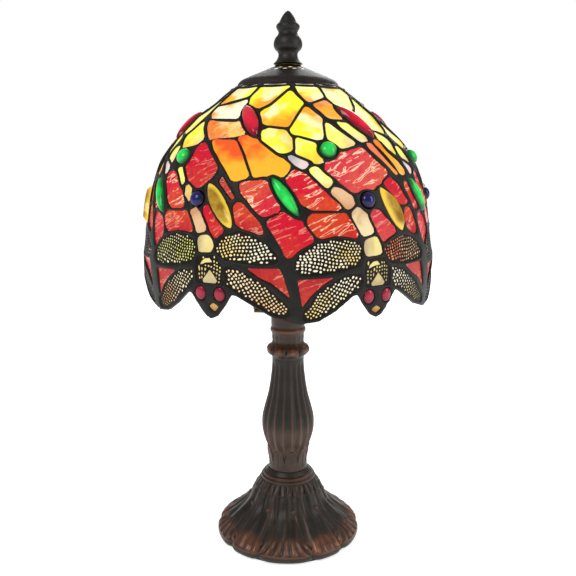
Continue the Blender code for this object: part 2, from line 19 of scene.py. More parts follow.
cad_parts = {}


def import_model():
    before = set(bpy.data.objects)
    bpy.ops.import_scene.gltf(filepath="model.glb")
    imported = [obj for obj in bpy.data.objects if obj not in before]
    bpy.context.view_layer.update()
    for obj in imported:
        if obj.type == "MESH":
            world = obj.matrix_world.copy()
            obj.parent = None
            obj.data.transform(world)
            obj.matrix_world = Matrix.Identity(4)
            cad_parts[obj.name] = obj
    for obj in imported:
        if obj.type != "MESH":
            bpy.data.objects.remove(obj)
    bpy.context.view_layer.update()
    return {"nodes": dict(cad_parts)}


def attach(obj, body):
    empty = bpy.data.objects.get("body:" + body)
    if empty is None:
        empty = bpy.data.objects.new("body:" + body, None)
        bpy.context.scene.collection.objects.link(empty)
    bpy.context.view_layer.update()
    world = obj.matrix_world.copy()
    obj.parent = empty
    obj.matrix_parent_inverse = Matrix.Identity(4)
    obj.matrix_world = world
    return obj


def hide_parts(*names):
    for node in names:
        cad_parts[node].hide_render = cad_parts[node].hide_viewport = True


MM = 0.001

# ---- Shade ----

# (radius, height) of the shade's glass face, from its top edge down.
SHADE_PROFILE = [
    (33.5, 332), (42, 326), (51.8, 318), (61.8, 310), (69.9, 302), (77.6, 294), (84.1, 286), (88.8, 278),
    (91.7, 270), (94, 262), (96, 254), (98, 242), (100.4, 226), (101.5, 212), (100.9, 198), (99.5, 180),
]
# The shade has six dragonfly sectors of two kinds, which alternate between two kinds of spiral lead line.
SECTORS = 6
KIND_TURN = 120.0
# A sector's middle lies this far round from its dragonfly's head, because its spirals slant.
MIDDLE_FROM_HEAD = -30
HEADS = {"first": 30.0, "second": 90.0}
# The rim's scallops over one sector: (angle from the head's middle, distance down).
RIM = [
    (-28.5, 172), (-22, 170.5), (-16, 164.5), (-10, 156), (-8, 155.5), (-5.5, 162), (-2.3, 169), (0, 170.8),
    (2.3, 169), (5.5, 162), (8, 155), (10, 155.5), (16, 161.5), (22, 167.5),
]
SPIRALS = {
    "first": [
        (-61, 0), (-61, 14), (-59, 28), (-56.5, 38), (-51, 48), (-40, 62), (-29, 79), (-19, 98), (-10.5, 113),
        (-5, 128), (-2, 145), (1.5, 172),
    ],
    "second": [
        (1, 0), (3, 10), (8, 23), (13, 33), (25, 53), (36, 72), (46, 89), (52, 106), (56.5, 124), (58.5, 140),
        (60, 158), (61.5, 172),
    ],
}

# Lifts off the shade's profile: the solder bead's crown and edge on each face, glass, filigree.
LEAD_OUT = 1.15
LEAD_EDGE = 0.1
LEAD_IN = -2.1
LEAD_IN_EDGE = -1.3
BEAD_RADIUS = 1.1
GLASS_FACE = 0.0
GLASS_BACK = -1.1
FILIGREE_TOP = 0.55
FILIGREE_LOW = 0.05
WING_GLASS_FACE = -0.05

NET_TOP = 1.2
GLASS_HOLD = 0.8
CORNER = 1.2
EDGE_STEP = 1.5
RIM_STEP = 1.4
RING_OFFSETS = (0.4, 0.95)
LEAD_GRID = 3.2
GRID_MARGIN = 0.7
FREE_CLEAR = 0.3
# Angles (from, to, how many) at which the net's top edge and rim are sampled for the rounding of its beads.
TOP_ANGLES = (-90, 150, 400)
RIM_ANGLES = (-60, 150, 900)
GRAIN_SPREAD = 900
SHADE_MIDDLE = 250
# Openings grow by up to GROW_MOST, or WING_GROW for a wing, until the lead beside them is LEAD_LINE wide.
LEAD_LINE = 1.7
GROW_MOST = 3.5
WING_GROW = 1.2
SEAM_CLEAR = 1.25
THINNED = 0.5
RIM_MARGIN = 2.1
WING_GRID = 5.0
# Piercings: size and gap, from least to most, row spacing, least distance from their middle to an edge.
HOLE_SIZE = (1.05, 1.4)
HOLE_GAP = (0.7, 0.95)
HOLE_ROW = 1.85
HOLE_CLEAR = 0.8
HALF_SPAN = 32
FILIGREE_LAP = 0.6

# Cut glass, by kind: main colour, second colour, share of painted white bulb glare, cream streaks, crinkle.
GLASS_KINDS = {
    "yellow": ("FCF432", "FFA424", 0.6, 0.0, 0.0),
    "lemon": ("FBF746", "F2CC40", 0.35, 0.0, 0.05),
    "pale": ("FAF576", "ECD488", 0.30, 0.0, 0.1),
    "white": ("FFFBD8", "F2983C", 0.75, 0.0, 0.05),
    "ember": ("FACC6C", "F0883A", 0.3, 1.0, 0.35),
    "petal": ("F9B42C", "EC5A22", 0.0, 0.0, 0.1),
    "amber": ("F4AE36", "EC8424", 0.15, 0.0, 0.1),
    "red": ("B62428", "C03E2C", 0.0, 0.35, 0.6),
    "crimson": ("CE1832", "CE3430", 0.0, 0.30, 0.6),
    "streaky": ("D42036", "D84A2E", 0.0, 1.0, 0.6),
    "scarlet": ("D2442A", "BE2430", 0.0, 0.40, 0.6),
    "flame": ("D24426", "C83028", 0.0, 0.95, 0.6),
    "coral": ("F08055", "EE9B4C", 0.0, 0.0, 0.3),
    "opal": ("E6D2CE", "A9A4B4", 0.10, 0.0, 0.1),
    "cream": ("E6D2A0", "C6A478", 0.1, 0.0, 0.1),
    "tan": ("E0B88C", "CB966A", 0.05, 0.0, 0.1),
    "gold": ("E3C36A", "D8B05A", 0.10, 0.0, 0.1),
    "body": ("E6D486", "BBA87A", 0.1, 0.0, 0.1),
    "beak": ("C89A58", "9C6F3C", 0.0, 0.0, 0.2),
    "wing": ("FFF8D8", "FFE486", 0.5, 0.0, 0.1),
    "wing_lime": ("F8F49C", "DDE05C", 0.35, 0.0, 0.1),
    "wing_gold": ("FFE7B4", "F6BE72", 0.3, 0.0, 0.1),
    "wing_rose": ("FFD09A", "EE7A4C", 0.2, 0.0, 0.2),
    # gap: glowing near-white fills in the slits under the cap, painted light seen through the slits.
    "gap": ("FFF4E4", "FFE6CC", 0.60, 0.0, 0.0),
}

FIXED_GLASS = ("gap", "beak", "red")
PALE_VEIN = "FFDDB4"
VEINS = {"ember": "E2481C"}

# Cut pieces of each kind of sector: (glass, side towards which it turns to its second colour, outline).
# Sides are degrees on the shade: 0 to the right, 90 down.
PIECES = {
    "first": [
        ("yellow", 180, [(-58.3, 7.3), (-45, 7.3), (-33.5, 7.3), (-32, 11), (-34, 18), (-45, 22), (-57, 25)]),
        ("yellow", 60, [(-27.5, 7.3), (-3.4, 7.3), (-2.4, 9), (-15, 27), (-20, 30), (-28.5, 26), (-30, 17)]),
        ("yellow", 75, [(-1, 13), (6.3, 26.5), (-3, 48.5), (-13, 47), (-16, 34)]),
        ("white", 180, [(-55.7, 28.5), (-47, 25), (-34, 22), (-32, 25), (-31, 40.5), (-50.5, 39.5)]),
        ("ember", 150, [(-50, 42.6), (-30.5, 44.3), (-28.5, 46), (-23.4, 55), (-39.5, 58)]),
        ("yellow", 300, [(8.5, 31), (15.3, 39), (13, 56), (10, 59.5), (0, 55), (-1, 52)]),
        ("lemon", 330, [(-12, 50), (-4, 52), (-1.5, 58), (-1, 67), (-6, 69), (-14, 59.5)]),
        ("lemon", 60, [(1.5, 58), (9, 62), (8.4, 68), (10.5, 75), (1, 70)]),
        ("petal", 285, [(-36.9, 61), (-26, 61), (-21, 71), (-17.6, 84), (-22, 85.5)]),
        ("petal", 240, [
            (-24, 58.8), (-17, 58.8), (-2.6, 78), (-3.6, 81.6), (-8, 81.4), (-15, 84.2), (-19.5, 71),
        ]),
        ("pale", 60, [(17.5, 45.5), (27.3, 61.5), (22, 64.6), (18.6, 61), (16, 57)]),
        ("opal", 200, [(-2, 72), (0, 72.3), (5, 77), (3, 79.5)]),
        ("pale", 90, [(5.8, 80.3), (7.5, 79.8), (13.5, 88), (12, 90.8)]),
        ("streaky", 20, [
            (12.2, 80), (16, 75), (20, 71), (25, 68), (30, 67.3), (38.6, 82), (34, 88.7), (27, 91),
            (23.6, 92.8),
        ]),
        ("streaky", 70, [(0, 81.7), (3, 83), (15.6, 103.3), (6.2, 104), (3, 97), (-1.5, 86)]),
        ("streaky", 250, [(-19.5, 89.5), (-12, 87.4), (-9.6, 94), (-6.2, 103.4), (-10, 106.3), (-13, 104.5)]),
        ("tan", 90, [(14.5, 91.6), (21.4, 101), (19.2, 103), (13.6, 94)]),
        ("crimson", 90, [(37.3, 89.5), (41, 87.6), (49.2, 101), (46.3, 101.7)]),
        ("crimson", 100, [
            (-4, 107.4), (3, 115), (5.6, 122.6), (0, 128), (-2.5, 130.6), (-5.6, 122), (-8.6, 111.6),
        ]),
        ("flame", 40, [(6, 107), (17.5, 108.2), (21.6, 120.6), (14, 118.8), (9, 120.6), (5, 113)]),
        ("cream", 270, [(23, 104.5), (24.5, 105.3), (28.4, 118), (25, 119.3), (21.2, 107)]),
        ("crimson", 90, [(30, 105.5), (34.2, 113), (38.4, 119), (35.6, 121), (33, 123.6), (29.4, 110)]),
        ("scarlet", 90, [(46.8, 106.4), (49.3, 106), (52, 115), (52.3, 119.6), (48.3, 117)]),
        ("body", 180, [
            (26, 123.9), (30, 122.5), (31.5, 130.5), (29, 132.3), (28, 131.6), (26, 132.3), (25, 128),
        ]),
        ("red", 90, [(0.6, 145), (12.6, 144.2), (8.8, 149), (5, 155), (2.3, 161.4)]),
        ("red", 0, [(43.8, 140.4), (54.6, 140), (55.6, 145), (57.4, 156.5), (52, 149), (48, 145.8)]),
        ("beak", 90, [(29.8, 163.2), (32.1, 165.4), (29.8, 168.2), (27.6, 165.4)]),
        # The gap pieces fill the slits under the cap with painted light seen through them.
        ("gap", 0, [(-58, 4.1), (-34, 4.1), (-34, 6.0), (-58, 6.0)]),
        ("gap", 0, [(-27, 4.1), (-4, 4.1), (-4, 6.0), (-27, 6.0)]),
    ],
    "second": [
        ("yellow", 110, [(3.7, 7.3), (24, 7.3), (25.3, 12), (25, 18), (13, 24.6), (10, 24), (6, 16)]),
        ("pale", 270, [
            (31, 7.7), (44, 7.3), (56, 7.3), (56.6, 14), (46, 28), (40, 31), (32, 28.5), (28.4, 20),
            (28.8, 12),
        ]),
        ("amber", 250, [(14.8, 27), (25, 23), (27.6, 35), (27, 41.2), (23, 41), (19.4, 38.6)]),
        ("pale", 90, [(24, 44.4), (28.6, 46), (36, 59.6), (32, 60.3)]),
        ("lemon", 30, [(57, 19), (59.4, 28), (56, 49), (52, 52), (45.6, 48.4), (43, 37)]),
        ("lemon", 60, [(64, 42.6), (69, 51.5), (73.8, 59), (70.6, 60.4), (63, 62), (58.4, 54.5)]),
        ("lemon", 60, [(45.2, 53.8), (50, 56), (52.2, 62), (50.4, 69.3), (46.6, 66)]),
        ("pale", 60, [(54.6, 65.6), (58, 66.4), (60.6, 75), (54.4, 72.4)]),
        ("coral", 60, [(34.3, 62.8), (36.8, 63.2), (45.6, 83.2), (43.4, 83), (37, 71)]),
        ("amber", 240, [(39.6, 61.6), (43, 62.6), (50.6, 80.6), (48.9, 82.6), (47.2, 82.2)]),
        ("opal", 200, [(53.4, 75.8), (55.2, 75.6), (60, 80.6), (58.4, 82.6)]),
        ("pale", 90, [(67.4, 80.6), (69.6, 79.8), (73.6, 88.4), (72.4, 89.6)]),
        ("crimson", 90, [
            (74, 72.5), (78, 65), (85.4, 74), (87.6, 80), (84.8, 86.6), (80, 89.4), (76, 86), (72.4, 78.4),
        ]),
        ("streaky", 70, [(61.2, 84), (67.6, 83.4), (75.4, 103), (68.2, 103.8), (65.6, 97)]),
        ("streaky", 250, [(50.2, 90.6), (52, 90), (55.4, 98.8), (57.8, 104), (56.6, 106), (54.6, 104)]),
        ("gold", 90, [(75.8, 91.2), (77, 91.8), (79.8, 97.6), (78.5, 100.6)]),
        ("red", 90, [(92.2, 84.4), (98.2, 97.3), (97.2, 98.8), (91, 88.2)]),
        ("scarlet", 90, [
            (100, 101.6), (101.6, 102.4), (108.4, 117.8), (105, 115.3), (102, 114.8), (99.5, 110),
        ]),
        ("crimson", 90, [(87, 102.8), (88.2, 103.6), (94, 116.5), (91.4, 121), (88.8, 113.5), (86.2, 106)]),
        ("crimson", 100, [(56.2, 108.8), (62, 114.4), (64.3, 121.6), (59.9, 129.4)]),
        ("scarlet", 90, [(66.7, 108.4), (78, 107.8), (81.3, 117.6), (74, 117), (68, 118.6)]),
        ("tan", 270, [(81.5, 103.8), (82.6, 103.6), (87.2, 116.6), (84, 118), (80.2, 105.8)]),
        ("body", 180, [
            (85.5, 121.6), (89, 121.4), (91.3, 126.5), (90, 128.6), (87, 128.2), (85.5, 129), (84.6, 124.2),
        ]),
        ("red", 90, [(62.4, 144), (74, 143.2), (70.2, 148), (66.4, 154), (63.4, 160.4)]),
        ("red", 0, [(104, 138.6), (114.6, 138.2), (116, 143), (118, 155.4), (112, 147), (108, 144)]),
        ("beak", 90, [(91, 160.6), (93.2, 162.8), (91.4, 166.2), (89.2, 163)]),
        # The gap pieces fill the slits under the cap with painted light seen through them.
        ("gap", 0, [(4.5, 4.1), (24, 4.1), (24, 6.0), (4.5, 6.0)]),
        ("gap", 0, [(29, 4.1), (56, 4.1), (56, 6.0), (29, 6.0)]),
    ],
}
# Wings of each kind of sector: (lean, glass, outline). The lean, in degrees, is that of the rows of piercings
# and the side towards which the glass turns to its second colour.
WINGS = {
    "first": [
        (8, "wing", [
            (0.4, 135), (2.2, 129.5), (6, 126), (10, 123.5), (14, 122), (19, 123), (22.6, 126), (23, 132),
            (21.6, 136.6), (15, 139), (8, 140.6), (2.4, 140.6), (0.2, 138),
        ]),
        (125, "wing", [
            (22.6, 144), (18, 143.8), (14, 147), (9.6, 151.6), (6.6, 156.4), (5.6, 161), (3.4, 164),
            (3, 168.5), (5, 171), (8, 168), (12, 164), (16, 158.4), (20, 153), (22.6, 149),
        ]),
        (172, "wing_rose", [
            (33.7, 129), (36, 125.8), (40, 123.6), (44, 122.4), (49, 124.6), (52.6, 128.5), (55, 133),
            (55, 136), (49, 137.2), (42, 137.2), (35.6, 136), (33.8, 133),
        ]),
        (55, "wing", [
            (36.6, 140.6), (41, 143), (45.4, 147.4), (49.4, 152), (53, 158), (56, 162.5), (57.5, 166),
            (56.6, 168.4), (53, 168), (49, 164), (44, 158), (39.8, 153), (36.6, 149.6),
        ]),
    ],
    "second": [
        (8, "wing_lime", [
            (61, 134), (62.6, 129), (66, 125), (70, 122.6), (74, 121), (79, 121.4), (82.8, 124.6),
            (83.2, 130.4), (81.8, 135.4), (75, 138), (68, 139.6), (62.6, 139.6), (61, 137),
        ]),
        (125, "wing_gold", [
            (82.8, 142.6), (78, 142.8), (74, 146), (69.6, 150.6), (66.6, 155.4), (65.6, 160), (63.6, 163),
            (63, 167), (65, 170), (68, 167), (72, 163), (76, 157.4), (80, 152), (82.8, 148),
        ]),
        (172, "wing", [
            (92.2, 125), (95, 121.4), (100.5, 118.2), (106, 121.2), (110.6, 126), (113.2, 131), (113.6, 134),
            (109, 135), (102, 134.2), (95.6, 132.6), (92.4, 128.5),
        ]),
        (55, "wing_gold", [
            (96, 138.4), (101, 141), (105.6, 144.8), (109.6, 149.8), (113.4, 156), (116.4, 161),
            (117.6, 164.4), (116.6, 166.4), (113, 166), (109, 162), (104, 156), (99.6, 150.8), (96.2, 147.8),
        ]),
    ],
}
# The body between the wings is one cream piece under a pierced plate: its outline and the plate's two larger
# openings, chevron and head triangle, with angles from the head's middle.
BODY_OUTLINE = [
    (-5.4, 133.6), (2.6, 132.8), (3.4, 136.6), (5.2, 139.2), (5.2, 149.6), (-5.4, 149.6), (-5.7, 142),
]
BODY_WINDOWS = [
    [(0, 141.5), (1.6, 144.6), (3, 148), (2, 150), (-2.4, 150.4), (-3, 148), (-1.4, 144.6)],
    [(-2.2, 135), (-0.2, 134.6), (1, 137), (-1.6, 137.4), (-4, 139), (-3.6, 137)],
]
EYES = [(-3.8, 156.0), (3.8, 156.0)]
EYE_SIZE = (9.0, 7.6)
EYE_HEIGHT = 1.9
EYE_POINTS = 28
HEAD_DROP = {"first": 1.2, "second": -1.0}

# Jewels: (name, kind of sector, angle, distance down, length, width, tilt from upright, height, slot).
JEWELS = [
    ("red_oval_jewel", "first", -22.5, 43.0, 31.0, 9.6, 27.5, 4.2, "red_jewel"),
    ("green_round_jewel", "first", 14.0, 67.5, 10.6, 10.6, 0.0, 4.6, "green_jewel"),
    ("green_marquise_jewel", "first", -3.5, 96.5, 27.5, 7.6, 34.5, 3.8, "green_jewel"),
    ("blue_round_jewel", "first", 27.3, 99.3, 10.0, 10.0, 0.0, 4.6, "blue_jewel"),
    ("gold_marquise_jewel", "first", 39.0, 105.3, 31.0, 9.4, 31.0, 4.2, "gold_jewel"),
    ("red_oval_jewel", "second", 36.5, 44.0, 31.0, 9.6, 27.5, 4.2, "red_jewel"),
    ("green_round_jewel", "second", 68.5, 72.0, 10.6, 10.6, 0.0, 4.6, "green_jewel"),
    ("green_marquise_jewel", "second", 58.5, 97.5, 27.5, 7.6, 34.5, 3.8, "green_jewel"),
    ("blue_round_jewel", "second", 82.8, 98.8, 10.0, 10.0, 0.0, 4.6, "blue_jewel"),
    ("gold_marquise_jewel", "second", 92.3, 102.2, 31.0, 9.4, 34.0, 4.2, "gold_jewel"),
]
JEWEL_BACK = -2.2
JEWEL_GIRDLE = 0.5
GOLD_TABLE = 0.45

# ---- Cap, finial, column and base ----

CAP_SKIN = [
    (4.2, 344.7), (8, 344.6), (10.6, 344.2), (13, 343.2), (19.2, 340.6), (28.9, 336.5), (32.6, 334.7),
    (34.9, 332.2), (35.8, 329.7),
]
CAP_THICK = 1.1
CAP_RIM = (35.0, 330.4, 0.8)
# Vents, by row: radius, how many, turn of the first.
VENT_ROWS = [(13.6, 12, 4.0), (16.8, 16, 13.0)]
VENT_SIZE = (3.6, 2.4)
VENT_LEAN = 14
CAP_SIDES = 96
# The glowing sheet behind the vents, painted light seen through them: its radii, and its lift off the cap's
# skin in front and behind.
VENT_GLOW_RADII = (9.5, 14, 19)
VENT_GLOW_LIFTS = (-0.15, -1.7)
CROWN_BAND = [(33.3, 327.4), (34.8, 327.4), (34.8, 329.2), (33.3, 329.2)]
WASHER = [(3.7, 345.0), (8.6, 345.0), (9.1, 345.3), (9.1, 345.6), (8.6, 345.85), (3.7, 345.85)]
FINIAL_SKIN = [
    (0, 381.4), (1.2, 380.9), (3, 379), (4.4, 377), (5.2, 375.4), (6.2, 373.6), (7.7, 372.2), (8.1, 370.9),
    (7.6, 369.4), (6.5, 367), (7.1, 365.4), (8.6, 363.6), (9.6, 361.2), (9.8, 358.4), (9, 356.2),
    (7.4, 354.6), (6.6, 353), (7.0, 350.6), (8.2, 348.4), (9.6, 347), (10.2, 346.4),
]
FINIAL_BORE = [(3.5, 346.25), (3.5, 369.5), (0, 371)]

# Ornament of the column. A span is (start, full, still full, end) going up.
FLUTES = 18
FLUTE_TURN = 7.0
FLUTE_SPAN = (64, 72, 131, 137.5)
FLUTE_DEPTH = 1.55
NECK_SPAN = (148.5, 150, 155, 156.5)
PETALS = 9
PETAL_FOOT = 56.5
PETAL_RISE = 14.5
RING_LOBES = 9
RING_TURN = 12.0
RING_HEIGHT = 143.8
BEAD_HEIGHT = 159
DARK_SPAN = (83, 90, 137, 140)
COLUMN_SKIN = [
    (12.4, 172), (12.4, 163), (12.3, 161.2), (12.7, 160.3), (13.1, 159), (12.7, 157.6), (12.1, 156.4),
    (11.9, 153), (11.8, 149.6), (12.6, 148), (14.6, 146.6), (15.6, 145), (15.8, 143.4), (15.0, 141.4),
    (13.2, 140), (12, 138.6), (11.8, 136), (11.9, 132), (12.9, 122), (14.9, 110), (17.6, 100), (19.3, 92.5),
    (19.65, 88), (19.5, 83), (18.1, 76), (15.6, 69), (14.4, 64), (13.75, 58), (14.0, 54.5), (14.4, 52.3),
]
COLUMN_WIDEST = 19.6
COLUMN_GRID = (540, 220)
PIPE_HOLE = 5.2

# Ornament of the base. Its five broad lobes are BROAD_LOBE degrees wide, with narrow ones between them.
LOBES = 5
LOBE_TURN = -4.5
BROAD_LOBE = 44.0
FOLDS = 15
FOLD_SPAN = (9, 15, 38, 42)
ROLL_HEIGHT = 6.2
BOSSES = 10
BOSS_HEIGHT = 28.0
BOSS_RADIUS = 1.9
TONGUES = 30
TONGUE_SPAN = (36.5, 38.5, 43.4, 44.6)
COLLAR_RIDGES = [(47.9, 0.75), (45.6, 0.6)]
BASE_GRID = (600, 150)
BASE_SKIN = [
    (14.6, 52), (16.2, 50.2), (17.6, 48.4), (19.6, 45.6), (22.4, 41.2), (24.6, 37.8), (26.4, 34.6),
    (29.4, 28.4), (32.4, 24.6), (36.3, 21.2), (42.7, 16), (48.2, 11.9), (51.8, 8.8), (53.5, 6.2), (53.9, 4),
    (53.1, 1.7),
]
BASE_HOLLOW = [
    (48.4, 1.6), (48.2, 3.6), (44.8, 3.6), (33, 14), (22, 25.5), (14, 38.1), (5.2, 38.1), (5.2, 52),
]

# ---- Fittings inside the shade ----

HARP_PATH = [
    (22, 180), (22, 186), (22, 192), (22, 198), (22.6, 204), (25.4, 212), (29, 221), (32, 232), (33.5, 245),
    (33.9, 262), (33, 280), (30.9, 299), (27, 315), (22.4, 325), (14, 333), (7.4, 336.8), (0, 338.2),
]
HARP_STEPS = 70
HARP_WIRE = 1.55
STUD = (3.05, 343.0, 368.0)
STUD_FOOT = [(0, 338.6), (2.4, 338.9), (3.4, 339.9), (6, 340.2), (6, 342.9)]
THREAD_PITCH = 0.94
BULB_SKIN = [
    (12.4, 222.8), (12.6, 227), (13.3, 232), (15.8, 239), (19.2, 246), (22, 253), (23.6, 260), (23.7, 268),
    (22.2, 276), (18.8, 284), (13.8, 290), (7.4, 293.4), (0, 294),
]
BULB_INSIDE = [(0, 292.6), (12, 288), (20.6, 272), (20.6, 256), (11.4, 232), (11.2, 222.9)]
SCREW_FOOT = [(0, 194), (4.4, 194.3), (4.6, 195.6), (8.6, 197.2), (11.2, 199.0)]
SCREW_START = 200.2
SCREW_TURNS = 5
SCREW_RADII = (12.2, 12.95)
SCREW_PITCH = 3.63
SCREW_COLLAR = [(12.9, 219.5), (12.9, 222.2), (10.9, 222.3), (10.9, 200), (0, 200)]
SOCKET_CUP = [
    (8.6, 174.4), (10.4, 175.1), (12.2, 176.2), (15.8, 179.4), (17.2, 181.6), (17.5, 184), (17.5, 187.9),
]
SOCKET_CUP_INSIDE = [(16.3, 187.9), (16.3, 184.6), (8.6, 176.2)]
SOCKET_SHELL = (17.2, 188.35, 222.0)
SOCKET_GROOVES = (192, 218)
KNOB_HEIGHT = 201.0
KNOB_SKIN = [
    (0.3, 17.7), (2.1, 17.8), (2.2, 21.0), (4.2, 21.2), (4.9, 22.2), (5.1, 25), (5.1, 28.4), (4.6, 29.6),
    (3.6, 29.9), (0.3, 29.9),
]
KNOB_SIDES = 60
KNOB_RIBS = 12

# ---- Camera and stage ----

CAMERA_TURN = -2.5
CAMERA_REACH = 508.5
CAMERA_HEIGHT = 282.0
CAMERA_PITCH = 10.33
LENS = 44.26


def colour(text):
    """Linear RGBA of an sRGB hex colour."""
    parts = [int(text[i:i + 2], 16) / 255 for i in (0, 2, 4)]
    linear = [((c + 0.055) / 1.055) ** 2.4 if c > 0.04045 else c / 12.92 for c in parts]
    return (*linear, 1.0)


# ---- Curved surfaces and flat outlines ----

def around_axis(radius, height, angle):
    """Points at these radii, heights and angles, which broadcast."""
    turn = np.radians(angle)
    return np.stack(np.broadcast_arrays(radius * np.sin(turn), -radius * np.cos(turn), height), axis=-1)


class Surface:
    """A smooth surface of revolution through profile points, addressed by angle and distance down it."""

    def __init__(self, profile, samples=24):
        knots = np.array(profile, float)
        chords = np.hypot(*np.diff(knots, axis=0).T)
        at = np.concatenate([[0], np.cumsum(chords)])
        slopes = np.gradient(knots, at, axis=0)
        self.length = at[-1]
        self.distance = np.linspace(0, self.length, samples * len(knots))
        i = np.clip(np.searchsorted(at, self.distance, side="right") - 1, 0, len(at) - 2)
        span = (at[i + 1] - at[i])[:, None]
        t = (self.distance - at[i])[:, None] / span
        self.place = (
            (2 * t**3 - 3 * t**2 + 1) * knots[i] + (t**3 - 2 * t**2 + t) * span * slopes[i]
            + (3 * t**2 - 2 * t**3) * knots[i + 1] + (t**3 - t**2) * span * slopes[i + 1]
        )
        along = np.gradient(self.place, self.distance, axis=0)
        along /= np.maximum(np.hypot(*along.T), 1e-9)[:, None]
        self.normal = np.stack([-along[:, 1], along[:, 0]], axis=1)

    def radius(self, distance):
        return np.interp(distance, self.distance, self.place[:, 0])

    def section(self, distance):
        """[radius, height] at a distance down the profile."""
        return [np.interp(distance, self.distance, self.place[:, k]) for k in (0, 1)]

    def points(self, angle, distance, lift=0.0):
        radius, height = self.section(distance)
        across, up = [np.interp(distance, self.distance, self.normal[:, k]) for k in (0, 1)]
        return around_axis(radius + lift * across, height + lift * up, angle)


class Patch:
    """Flat coordinates on a surface round one angle: across and down, in millimetres."""

    def __init__(self, surface, centre):
        self.surface = surface
        self.centre = centre

    def flat(self, outline):
        angle, distance = np.array(outline, float).T
        return np.stack([np.radians(angle - self.centre) * self.surface.radius(distance), distance], axis=1)

    def unflat(self, loop):
        across, distance = np.asarray(loop, float).T
        return np.stack([self.centre + np.degrees(across / self.surface.radius(distance)), distance], axis=1)

    def lifted(self, loop, lift):
        angle, distance = self.unflat(loop).T
        return self.surface.points(angle, distance, lift)


class RingPatch(Patch):
    """Flat coordinates for a whole cap, which has no seam."""

    def flat(self, outline):
        angle, distance = np.array(outline, float).T
        reach = distance + self.centre
        return np.stack([reach * np.sin(np.radians(angle)), -reach * np.cos(np.radians(angle))], axis=1)

    def unflat(self, loop):
        x, y = np.asarray(loop, float).T
        return np.stack([np.degrees(np.arctan2(x, -y)), np.hypot(x, y) - self.centre], axis=1)


SHADE = Surface(SHADE_PROFILE)


def patch_round(outline):
    """The patch of the shade centred on an outline of (angle, distance) points."""
    return Patch(SHADE, float(outline[:, 0].mean()))


def sectors():
    """(number, kind, turn from the first of its kind) of each sector."""
    for index in range(SECTORS):
        yield index, list(HEADS)[index % 2], KIND_TURN * (index // 2)


def spun(points, turn):
    """The points turned round the lamp's axis."""
    c, s = math.cos(math.radians(turn)), math.sin(math.radians(turn))
    return points @ np.array([[c, -s, 0], [s, c, 0], [0, 0, 1]]).T


def area(loop):
    x, y = np.asarray(loop).T
    return 0.5 * float(np.sum(x * np.roll(y, -1) - np.roll(x, -1) * y))


def rounded(loop, radius=CORNER):
    """The loop with each corner cut by a short curve."""
    result = []
    for i, corner in enumerate(loop):
        before, after = loop[i - 1] - corner, loop[(i + 1) % len(loop)] - corner
        reach_before, reach_after = np.hypot(*before), np.hypot(*after)
        start = corner + before / reach_before * min(radius, 0.4 * reach_before)
        end = corner + after / reach_after * min(radius, 0.4 * reach_after)
        for t in (0.0, 0.5, 1.0):
            result.append((1 - t) ** 2 * start + 2 * t * (1 - t) * corner + t**2 * end)
    return np.array(result)


def densified(loop, step):
    """The closed loop with no edge longer than step."""
    result = []
    for p, q in zip(loop, np.roll(loop, -1, axis=0)):
        parts = max(1, math.ceil(np.hypot(*(q - p)) / step))
        result += [p + (q - p) * i / parts for i in range(parts)]
    return np.array(result)


def outward(loop):
    """Unit directions out of the loop at its points."""
    ahead = np.roll(loop, -1, axis=0) - np.roll(loop, 1, axis=0)
    normal = np.stack([ahead[:, 1], -ahead[:, 0]], axis=1) * np.sign(area(loop))
    return normal / np.maximum(np.hypot(*normal.T), 1e-9)[:, None]


def expanded(loop, by):
    """The loop moved outwards by this much."""
    loop = np.asarray(loop, float)
    ahead = np.roll(loop, -1, axis=0) - loop
    normal = np.stack([ahead[:, 1], -ahead[:, 0]], axis=1) * np.sign(area(loop))
    normal /= np.maximum(np.hypot(*normal.T), 1e-9)[:, None]
    both = normal + np.roll(normal, 1, axis=0)
    length = np.maximum(np.hypot(*both.T), 0.8)
    return loop + both / length[:, None] * (by * 2 / length)[:, None].clip(-abs(by) * 1.5, abs(by) * 1.5)


def in_loops(points, loops):
    """For each point, whether it is inside by the even-odd rule over all loops."""
    x, y = np.asarray(points, float).T
    odd = np.zeros(len(x), bool)
    for loop in loops:
        low, high = loop.min(axis=0), loop.max(axis=0)
        near = np.flatnonzero((x >= low[0]) & (x <= high[0]) & (y >= low[1]) & (y <= high[1]))
        if not len(near):
            continue
        px, py = x[near], y[near]
        inside = np.zeros(len(near), bool)
        for p, q in zip(loop, np.roll(loop, -1, axis=0)):
            if p[1] != q[1]:
                meets = p[0] + (q[0] - p[0]) * (py - p[1]) / (q[1] - p[1])
                inside ^= ((p[1] > py) != (q[1] > py)) & (px < meets)
        odd[near] ^= inside
    return odd


def nearest_distances(points, others):
    tree = KDTree(len(others))
    for i, p in enumerate(others):
        tree.insert(p, i)
    tree.balance()
    return np.array([tree.find(p)[2] for p in points])


def triangulated(loops, free):
    """(points, triangles) of the region inside loops[0] and outside the others, with free points added."""
    points = np.concatenate([*loops, free]) if len(free) else np.concatenate(loops)
    edges, start = [], 0
    for loop in loops:
        edges += [(start + i, start + (i + 1) % len(loop)) for i in range(len(loop))]
        start += len(loop)
    corners, _, triangles, *_ = delaunay_2d_cdt([Vector(p) for p in points], edges, [], 0, 1e-4)
    corners = np.array([(p.x, p.y) for p in corners])
    triangles = np.array(triangles)
    kept = triangles[in_loops(corners[triangles].mean(axis=1), loops)]
    used, number = np.unique(kept, return_inverse=True)
    return corners[used], number.reshape(-1, 3)


